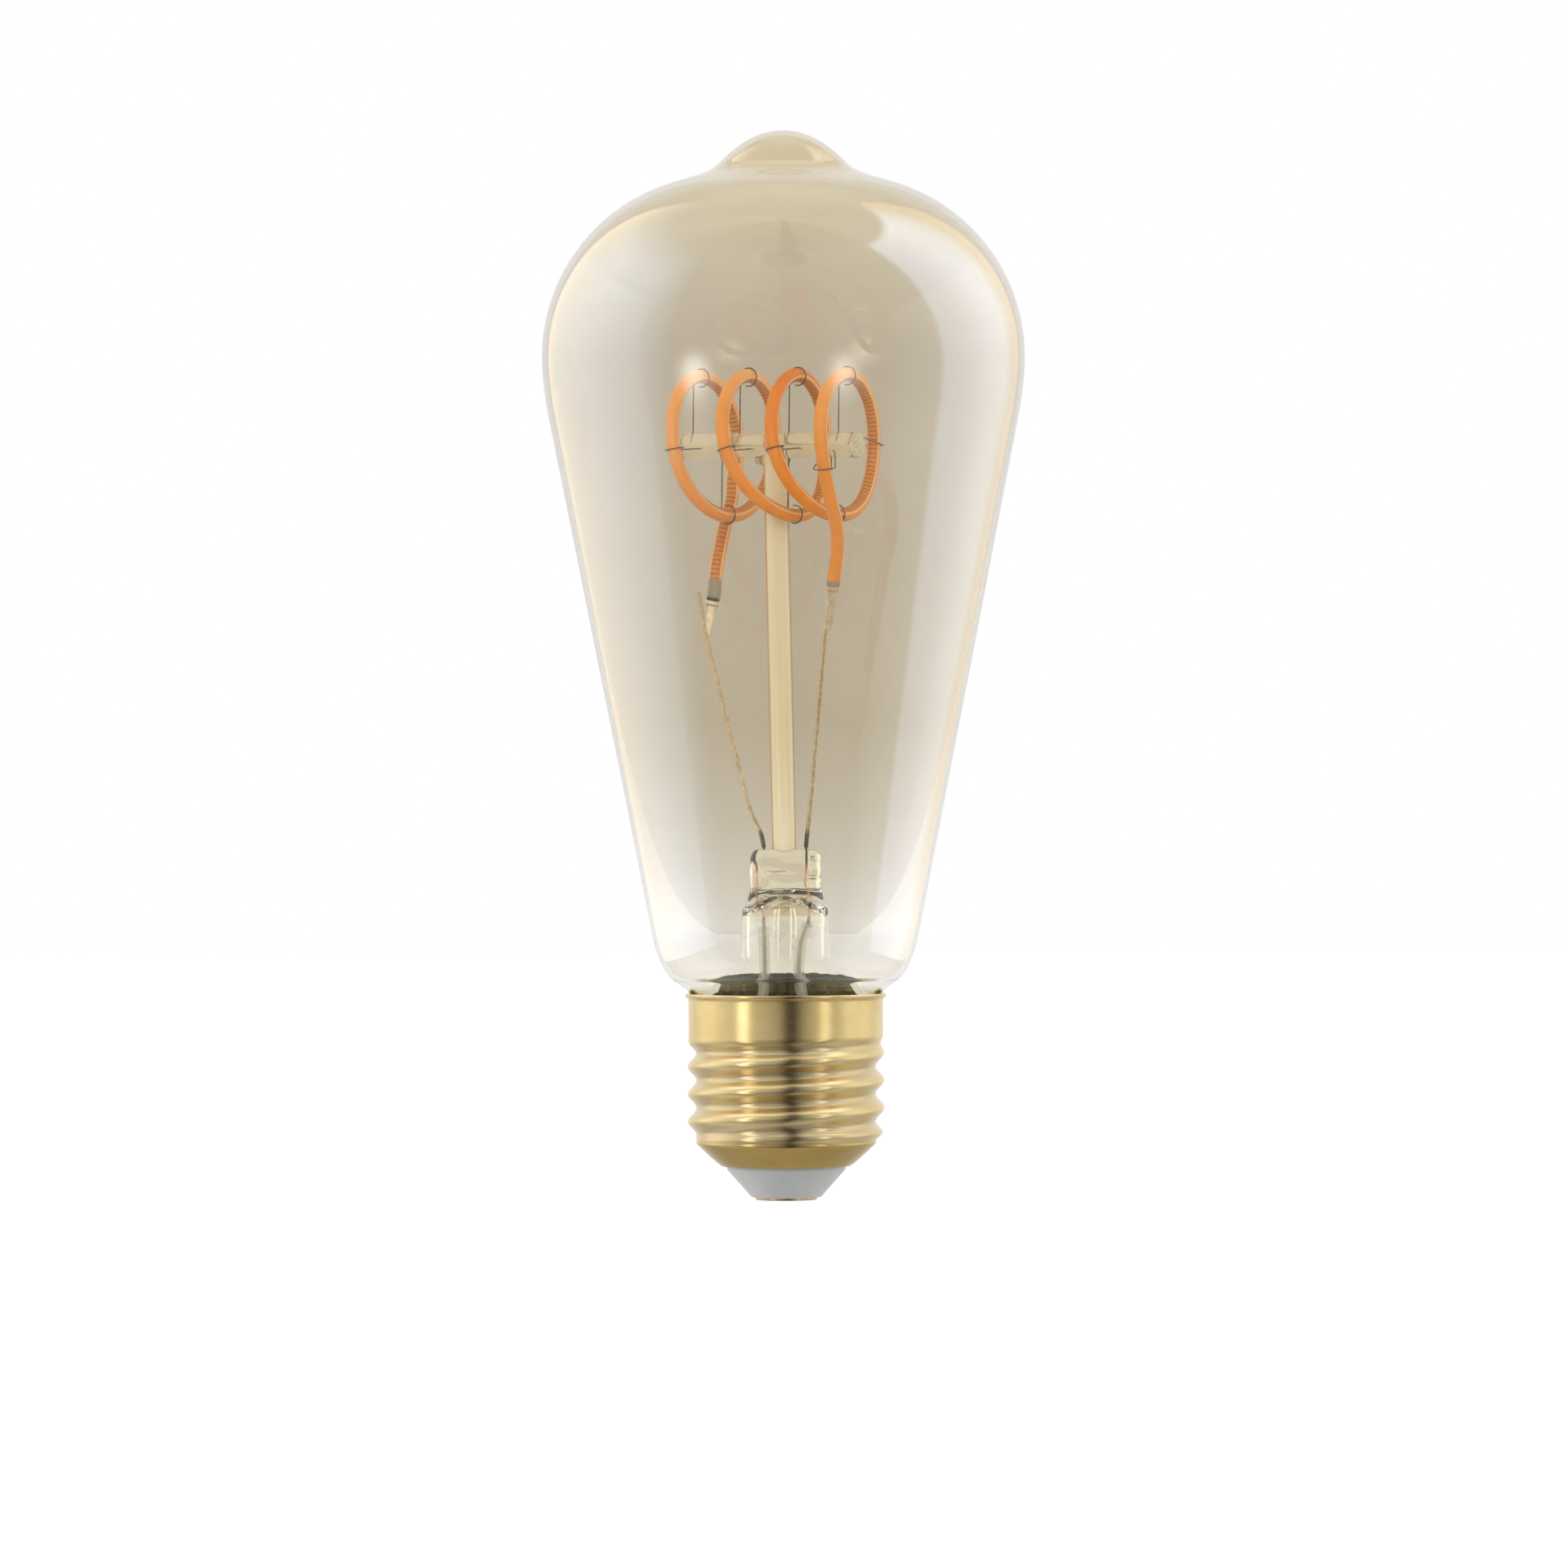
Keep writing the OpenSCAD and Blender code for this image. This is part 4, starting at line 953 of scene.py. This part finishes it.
def make_hooks():
    metal = plain("hook_metal", ((0.1, 0.08, 0.06), (0.24, 0.2, 0.15)), 0.42, 0.8, 0.8, 0)
    crowns = [90 + 360 * k for k in range(CROWN_COUNT)]
    # Each node, the coil angles that its wires hold, and the wires laid one by one
    for node, turns, laid in (
            ("top_hook_wires", crowns, ()),
            ("front_hook_wires", [c + FRONT_ANGLE for c in crowns[:-1]], (LOOSE_HOOK,)),
            ("bottom_hook_wires", [c + 180 for c in crowns[:-1]], ()),
            ("rear_hook_wires", [c - 90 for c in crowns[1:-1]], (OPEN_HOOK,))):
        routes = [hook_route(turn) for turn in turns] + [bent(route, 0.9) for route in laid]
        wires = [wire("hook", route, HOOK_WIRE_R, 10) for route in routes]
        place(joined(node.replace("_wires", "s_drawn"), wires), metal, "hook_wire", node)


# ---- terminals and wires

def make_terminal(name, start, end, metal, node):
    """Flat tab with a folded collar crimped round its upper end."""
    start, end = Vector(start), Vector(end)
    run = (end - start).normalized()
    route = [start + (end - start) * (k / 10) for k in range(11)]
    facing = [Vector((0, 1, 0))] * len(route)
    tab = sweep("tab", route, squircle(*TAB_HALVES, 5, 24), facing, crease=50)
    collar_route = [start + run * (CRIMP_L * k / 6 - 0.02) for k in range(7)]
    collar = sweep("collar", collar_route, squircle(*CRIMP_HALVES, 4, 32), facing[:7],
                   scale=[0.86, 0.96, 1, 0.97, 1, 0.96, 0.86], crease=60)
    place(joined(name, [tab, collar]), metal, "nickel", node)


def make_wires():
    metal = plain("nickel", ((0.6, 0.51, 0.38), (0.84, 0.75, 0.6)), 0.33, 0.9, 0.7, grain=0.25,
                  detail=3.0)
    dark = nickel_dark()
    make_terminal("filament_tab_left", LEFT_LEG[0], LEFT_TAB_END, metal, "filament_terminal_left")
    make_terminal("filament_tab_right", RIGHT_LEG[-1], RIGHT_TAB_END, metal,
                  "filament_terminal_right")
    red = copper()
    tin = plain("tinned_lead", ((0.2, 0.15, 0.11), (0.45, 0.37, 0.3)), 0.4, 0.8, 0.8, 0)
    for name, routes, r, reach, material, slot, node in (
            ("supply", (LEAD_LEFT, LEAD_RIGHT), LEAD_R, 1.2, dark, "nickel", "lead_wire"),
            ("seal", (DUMET_LEFT, DUMET_RIGHT), DUMET_R, 0.6, red, "copper_clad", "dumet_wire"),
            ("tail", (OUTER_LEFT, OUTER_RIGHT), OUTER_LEAD_R, 1, tin, "outer_lead", "outer_lead")):
        for side, route in zip(("left", "right"), routes):
            piece = wire(f"{name}_wire_{side}", bent(route, reach), r, 16)
            place(piece, material, slot, f"{node}_{side}")
    cloth = woven_sleeve()
    for side, route in (("left", SLEEVE_LEFT), ("right", SLEEVE_RIGHT)):
        piece = tube("sleeve_woven_" + side, spline(route, 12), SLEEVE_R, OUTER_LEAD_R + 0.1, 24,
                     0.03, 0.6)
        place(piece, cloth, "sleeve", "sleeve_" + side)


# ---- screw cap

def thread_r(angle, z):
    """Outside radius of the rolled thread, and how near that is to a crest, from 0 to 1."""
    rise = smooth_step((z - CONE_TOP) / FADE_IN)
    fall = smooth_step((COLLAR_BOTTOM - z) / FADE_OUT)
    middle = (THREAD_CREST_R + THREAD_ROOT_R) / 2
    low = CONE_TOP_R + (middle - CONE_TOP_R) * rise
    base = COLLAR_R + (low - COLLAR_R) * fall
    wave = math.cos(2 * math.pi * (z - FIRST_CREST) / THREAD_PITCH - angle)
    height = (THREAD_CREST_R - THREAD_ROOT_R) / 2 * wave * rise * fall
    return base + height, max(0, wave) * rise * fall


def make_shell():
    sides = 288
    thread_rows = 150
    thread = [CONE_TOP + (COLLAR_BOTTOM - CONE_TOP) * i / thread_rows
              for i in range(thread_rows + 1)]
    cone = [(CONE_TIP_R - 0.4, SHELL_BOTTOM)]
    cone += bezier((CONE_TIP_R, SHELL_BOTTOM), (CONE_TIP_R + 0.6, SHELL_BOTTOM + 0.3),
                   (CONE_TOP_R - 1, CONE_TOP - 1.1), (CONE_TOP_R, CONE_TOP - 0.15), 16)
    lip = [(COLLAR_R, COLLAR_BOTTOM + (LIP_BOTTOM - COLLAR_BOTTOM) * k / 6) for k in range(1, 7)]
    lip += bezier((COLLAR_R, LIP_BOTTOM), (COLLAR_R, LIP_BOTTOM + 0.35), (RIM_R, LIP_BOTTOM + 0.3),
                  (RIM_R, RIM_TOP - 0.25), 10)[1:]
    lip += arc((RIM_R - 0.15, RIM_TOP - 0.25), 0.15, 0, 180, 8)[1:]
    points, crest = [], []

    def add_rows(outline, inset=0):
        """Rings for an outline, in which a bare height is a ring of the thread."""
        for p in outline:
            for j in range(sides):
                if isinstance(p, float):
                    r, near = thread_r(2 * math.pi * j / sides, p)
                    points.append(polar(r - inset, j / sides, p))
                else:
                    near = 0.0
                    points.append(polar(p[0], j / sides, p[1]))
                crest.append(near)

    bore_r = COLLAR_R - SHELL_WALL
    add_rows(cone + thread + lip + [(bore_r, LIP_BOTTOM + 0.1), (bore_r, COLLAR_BOTTOM + 0.4)])
    add_rows(thread[::-1], SHELL_WALL)
    add_rows(shifted(cone, SHELL_WALL)[::-1])
    rows = len(points) // sides
    base = (rows - 1) * sides
    faces = skin(rows, sides)
    faces += [(base + j, base + (j + 1) % sides, (j + 1) % sides, j) for j in range(sides)]
    piece = add_mesh("cap_shell_rolled", points, faces, 50)
    add_attribute(piece, "crest", crest)
    place(piece, brass(), "cap_brass", "cap_shell")


def make_insulator():
    tip = arc((INSULATOR_TIP_R - 0.5, INSULATOR_BOTTOM + 0.5), 0.5, -90, -28, 8)
    rim = arc((INSULATOR_RIM_R - 0.25, INSULATOR_TOP - 0.25), 0.25, -30, 0, 5)
    outline = [(EYELET_R, INSULATOR_BOTTOM + 0.1), (CONTACT_R + 0.1, INSULATOR_BOTTOM + 0.1),
               (CONTACT_R + 0.15, INSULATOR_BOTTOM), *tip, *rim,
               (INSULATOR_RIM_R, SHELL_BOTTOM + 0.5), (9.4, 5.9), (10.6, 7), (7.6, 7), (6, 5.2),
               (EYELET_R, 5.2)]
    piece = lathe("cap_insulator_moulded", outline, 160, 40)
    place(piece, moulded_grey(), "insulator", "cap_insulator")


def make_contact():
    outline = [(0, 0.12), (1.1, 0.12), (1.5, 0.02), (1.9, 0),
               *arc((CONTACT_R - 0.18, 0.18), 0.18, -90, 0, 8), (CONTACT_R, CONTACT_H),
               (EYELET_R, CONTACT_H), (EYELET_R, EYELET_TOP), (0.8, EYELET_TOP), (0.8, CONTACT_H),
               (0, CONTACT_H)]
    piece = lathe("cap_contact_stamped", outline, 96, 30)
    metal = plain("contact_brass", ((0.53, 0.38, 0.2), (0.75, 0.55, 0.3)), 0.32, 1.0, 1.5, 0.01,
                  0.35, 3.0)
    place(piece, metal, "contact_brass", "cap_contact")


def make_potting():
    """Crumbly filling, low in front and banked up behind the flare."""
    outline = [(0, PLUG_BOTTOM), (PLUG_R, PLUG_BOTTOM)]
    outline += [(PLUG_R, PLUG_BOTTOM + 5.3 * k / 10) for k in range(1, 10)]
    outline += bezier((PLUG_R, 25.6), (10.4, 28), (9, 29.15), (7, 29.3), 44)
    outline += [(7 * (1 - k / 30), 29.3 + 0.2 * k / 30) for k in range(1, 30)] + [(0, 29.5)]

    def crumbled(p):
        if p.z < 23:
            return p
        bank = smooth_step((p.y + 0.6) / 2.4)
        top = BANK_Z + (p.z - BANK_Z) * bank if p.z > BANK_Z else p.z
        lumps = noise.fractal(p * 0.9, 0.8, 2.1, 5)
        return Vector((p.x * 0.995, p.y * 0.995, top - 0.1 + 0.3 * lumps))

    piece = lathe("potting_fill", outline, 220, 80, crumbled)
    place(piece, rough_potting(), "potting", "potting")


# ---- parts that stay as the CAD made them

def finish_cad_nodes():
    for node, material in (
            ("filament_strip", plain(
                "filament_carrier", ((0.7, 0.62, 0.47), (0.84, 0.77, 0.62)), 0.5, depth=0)),
            ("led_chips", plain(
                "chip_die", ((0.13, 0.08, 0.05), (0.3, 0.2, 0.12)), 0.25, size=0.3, depth=0)),
            ("basing_cement", plain(
                "basing_cement", ((0.48, 0.41, 0.29), (0.68, 0.6, 0.45)), 0.85, 0.0, 0.8, 0.1,
                0.4, 5.0)),
            ("driver_board", plain("board_green", (0.05, 0.22, 0.09), 0.35, size=1.5)),
            ("radio_board", plain("board_blue", (0.03, 0.09, 0.2), 0.35, size=1.5)),
            ("bulk_capacitor", plain("capacitor_sleeve", (0.03, 0.035, 0.06), 0.25, size=2)),
            ("inductor", plain("ferrite", (0.06, 0.055, 0.05), 0.6)),
            ("fusible_resistor", plain("resistor_coat", (0.2, 0.28, 0.18), 0.55)),
            ("bridge_rectifier", plain("moulded_black", (0.02, 0.02, 0.022), 0.45, size=0.4)),
            ("driver_chip", plain("moulded_charcoal", (0.025, 0.025, 0.028), 0.45, size=0.4)),
            ("radio_pins", plain("pin_gold", (0.85, 0.68, 0.3), 0.25, 1.0)),
            ("radio_shield", plain("shield_tin", (0.7, 0.7, 0.7), 0.3, 1.0)),
            ("chip_antenna", plain("antenna_ceramic", (0.8, 0.8, 0.75), 0.4)),
            ("centre_contact_wire", plain("wire_red", (0.5, 0.06, 0.04), 0.4)),
            ("shell_wire", plain("wire_black", (0.02, 0.02, 0.022), 0.4)),
            ("solder_joints", plain("solder", (0.75, 0.75, 0.76), 0.22, 1.0))):
        mesh = NODES[node].data
        mesh.materials.clear()
        mesh.materials.append(material)
    NODES["basing_cement"].data.set_sharp_from_angle(angle=math.radians(35))


# ---- studio

def add_camera():
    data = bpy.data.cameras.new("camera")
    data.sensor_width = SENSOR_WIDTH
    data.lens = CAMERA_DISTANCE * SENSOR_WIDTH / VIEW_WIDTH
    data.clip_start = 0.01
    data.clip_end = 100
    camera = add_object("camera", data)
    camera.location = Vector((CAMERA_SIDE, -CAMERA_DISTANCE, CAMERA_HEIGHT)) * MM
    camera.rotation_euler = (math.pi / 2, CAMERA_ROLL, 0)
    SCENE.camera = camera


def add_softbox(name, centre, size, radiance, target, receivers):
    """A soft rectangular light that faces a target and lights only the receivers."""
    data = bpy.data.lights.new(name, "AREA")
    data.shape = "RECTANGLE"
    data.size = size[0] * MM
    data.size_y = size[1] * MM
    data.energy = radiance * math.pi * data.size * data.size_y
    light = add_object(name, data)
    light.location = Vector(centre) * MM
    facing = (Vector(target) - Vector(centre)).normalized()
    light.rotation_euler = facing.to_track_quat("-Z", "Y").to_euler()
    light.visible_camera = False
    light.light_linking.receiver_collection = receivers
    return data


# Places and sizes of the lights
SHEET_X, SHEET_Y, SHEET_Z = 400, 26, 575
SHEET_SIZE = (1333, 1450)
SHEET_EYE = (0, 0, 90)
SHEET_TOP_ANGLE = 62
EDGE_BLUR = 2.5
SPOT_DISTANCE = 500
COIL_MIDDLE = Vector((0, 0, 110))
STRIP_DISTANCE, STRIP_L, STRIP_Z = 400, 700, 20


def add_sheet(name, side, levels, receivers, fade, edge=None):
    """A tall sheet of light beside the bulb, graded by the angle round the bulb."""
    data = add_softbox(name, (side * SHEET_X, SHEET_Y, SHEET_Z), SHEET_SIZE, 1,
                       (0, SHEET_Y, SHEET_Z), receivers)
    make = Shading(data, "EMISSION")
    around, up = make.angles(make.from_point(SHEET_EYE))
    around = make.math("ABSOLUTE", around)
    stops = [(a / 180, tuple(c / RAMP_SCALE for c in colour)) for a, colour in levels]
    make.set("Color", make.ramp(make.math("DIVIDE", around, 180), *stops))
    grow = make.math("ADD", make.product(up, 0.011), 1.02)
    level = make.product(make.step(up, SHEET_TOP_ANGLE, fade), RAMP_SCALE, grow)
    if edge:
        # The sheet's crisp front edge leans back a little towards its foot
        past = make.math("ADD", around, make.product(up, 0.12))
        level = make.product(level, make.step(past, edge - EDGE_BLUR, edge + EDGE_BLUR))
    make.set("Strength", level)


def add_spot(name, around, up, reach, radiance, receivers):
    """A round light with a soft edge, in one direction from the coil."""
    a, e = math.radians(around), math.radians(up)
    away = Vector((math.sin(a) * math.cos(e), -math.cos(a) * math.cos(e), math.sin(e)))
    centre = COIL_MIDDLE + away * SPOT_DISTANCE
    data = add_softbox(name, centre, (2 * reach, 2 * reach), 1, COIL_MIDDLE, receivers)
    make = Shading(data, "EMISSION")
    off = make.math("LENGTH", make.from_point(centre), kind="VectorMath", output=1)
    level = make.math("POWER", make.step(off, reach * MM, 0), 3)
    make.set("Strength", make.product(level, radiance))


# How bright the studio is round the bulb, by angle from the camera's side in degrees, with
# positive angles to the right, and by height in degrees.
STUDIO = ((-180, 1.0), (-134, 0.85), (-115, 1.15), (-90, 1.0), (-72, 0.74), (-62, 0.62),
          (-45, 0.6), (-36, 0.59), (-20, 0.51), (-9, 0.43), (-3, 0.24), (2, 0.03), (11, 0.03),
          (17, 0.26), (24, 0.42), (38, 0.6), (52, 0.52), (66, 0.66), (78, 0.98), (110, 0.96),
          (125, 0.84), (180, 1.0))
HEIGHTS = ((-90, 0.6), (-30, 0.6), (-10, 0.9), (0, 1), (25, 1), (45, 0.95), (60, 1.65), (90, 1.8))
# Colours of the two sheets of light by the same angle. A ramp holds them divided by RAMP_SCALE.
RAMP_SCALE = 2.5
LEFT_SHEET = ((53, (0, 0, 0.05)), (60, (0.25, 0.5, 0.75)), (70, (0.85, 1.15, 1.65)),
              (80, (1.05, 1.4, 2.05)), (95, (1.22, 1.55, 2.15)), (108, (1.25, 1.42, 1.85)),
              (120, (1.08, 1.17, 1.38)), (130, (0.95, 1.0, 1.07)), (140, (0.76, 0.72, 0.62)),
              (150, (0.8, 0.65, 0.45)))
RIGHT_SHEET = ((60, (0.9, 1.3, 1.9)), (80, (1.05, 1.4, 2.05)), (90, (1.25, 1.55, 2.25)),
               (100, (1.4, 1.65, 2.25)), (110, (1.5, 1.75, 2.35)), (120, (1.35, 1.55, 2.0)),
               (130, (1.05, 1.15, 1.35)), (140, (0.62, 0.52, 0.34)), (150, (0.5, 0.28, 0.05)))


def add_world():
    """White behind the bulb for every view, and the studio for what its surfaces reflect."""
    SCENE.world = bpy.data.worlds.new("studio")
    make = Shading(SCENE.world, "BACKGROUND")
    around, up = make.angles(make.node("TexCoord").outputs["Generated"])
    turn = make.math("ADD", make.math("DIVIDE", around, 360), 0.5)
    sides = make.ramp(turn, *((a / 360 + 0.5, value / 2) for a, value in STUDIO))
    rise = make.math("ADD", make.math("DIVIDE", up, 180), 0.5)
    levels = make.ramp(rise, *((a / 180 + 0.5, value / 2) for a, value in HEIGHTS))
    rays = make.node("LightPath").outputs
    seen = make.math("MAXIMUM", rays["Is Camera Ray"], rays["Is Transmission Ray"])
    mixed = make.node("Mix")
    for key, value in ((0, seen), (2, make.product(sides, levels, 4)), (3, 1.0)):
        make.feed(mixed.inputs[key], value)
    make.set("Strength", mixed.outputs[0])
    make.set("Color", (1, 1, 1, 1))


def add_floor():
    """Plain pale floor, well below the bulb, as bright as the studio's white."""
    f = Finish("pale_floor", 0.9, Emission_Strength=0.36)
    f.set("Emission Color", (1, 1, 1, 1))
    f.paint(f.shades(400, (0.84, 0.84, 0.84), (0.86, 0.86, 0.86)))
    half = 9000
    drop = -150
    floor = add_mesh("floor", [(-half, -half, drop), (half, -half, drop), (half, half, drop),
                               (-half, half, drop)], [(0, 1, 2, 3)], recalculate=False)
    floor.data.materials.append(f.material)
    floor.visible_glossy = False
    floor.visible_diffuse = False
    floor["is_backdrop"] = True


# ---- the whole scene

STEM_GLASS = stem_glass()

SCENE.view_settings.view_transform = "Standard"
add_camera()
add_world()
add_floor()

make_envelope()
make_stem()
make_soot()
make_exhaust()
make_post_and_bar()
make_silicone()
make_hooks()
make_wires()
make_shell()
make_insulator()
make_contact()
make_potting()
finish_cad_nodes()

glass_only, cap_only, inside_only = (bpy.data.collections.new(name)
                                     for name in ("glass_only", "cap_only", "inside_only"))
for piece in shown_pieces():
    glass = piece.name.startswith("glass_envelope")
    cap = piece.name.startswith("cap_")
    (glass_only if glass else cap_only if cap else inside_only).objects.link(piece)
for name in ("glass_envelope_blown", "stem_pressed_glass", "exhaust_glass_tube", "stem_post_rod",
             "crossbar_rod", "post_bead_glass"):
    bpy.data.objects[name].visible_shadow = False

add_sheet("sheet_left", -1, LEFT_SHEET, glass_only, fade=38)
add_sheet("sheet_right", 1, RIGHT_SHEET, glass_only, fade=58, edge=79)
add_spot("glow_left", -42, -8, 165, 6.5, glass_only)
add_spot("glow_right", 28, -8, 150, 5, glass_only)
for name, around, width, radiance in (("strip_left", -51, 88, 1.2), ("strip_right", 47, 80, 0.75)):
    a = math.radians(around)
    place_x, place_y = STRIP_DISTANCE * math.sin(a), -STRIP_DISTANCE * math.cos(a)
    add_softbox(name, (place_x, place_y, STRIP_Z), (width, STRIP_L), radiance, (0, 0, STRIP_Z),
                cap_only)
add_softbox("inside_fill", (0, -600, 260), (560, 340), 3.3, (0, 0, 90), inside_only)
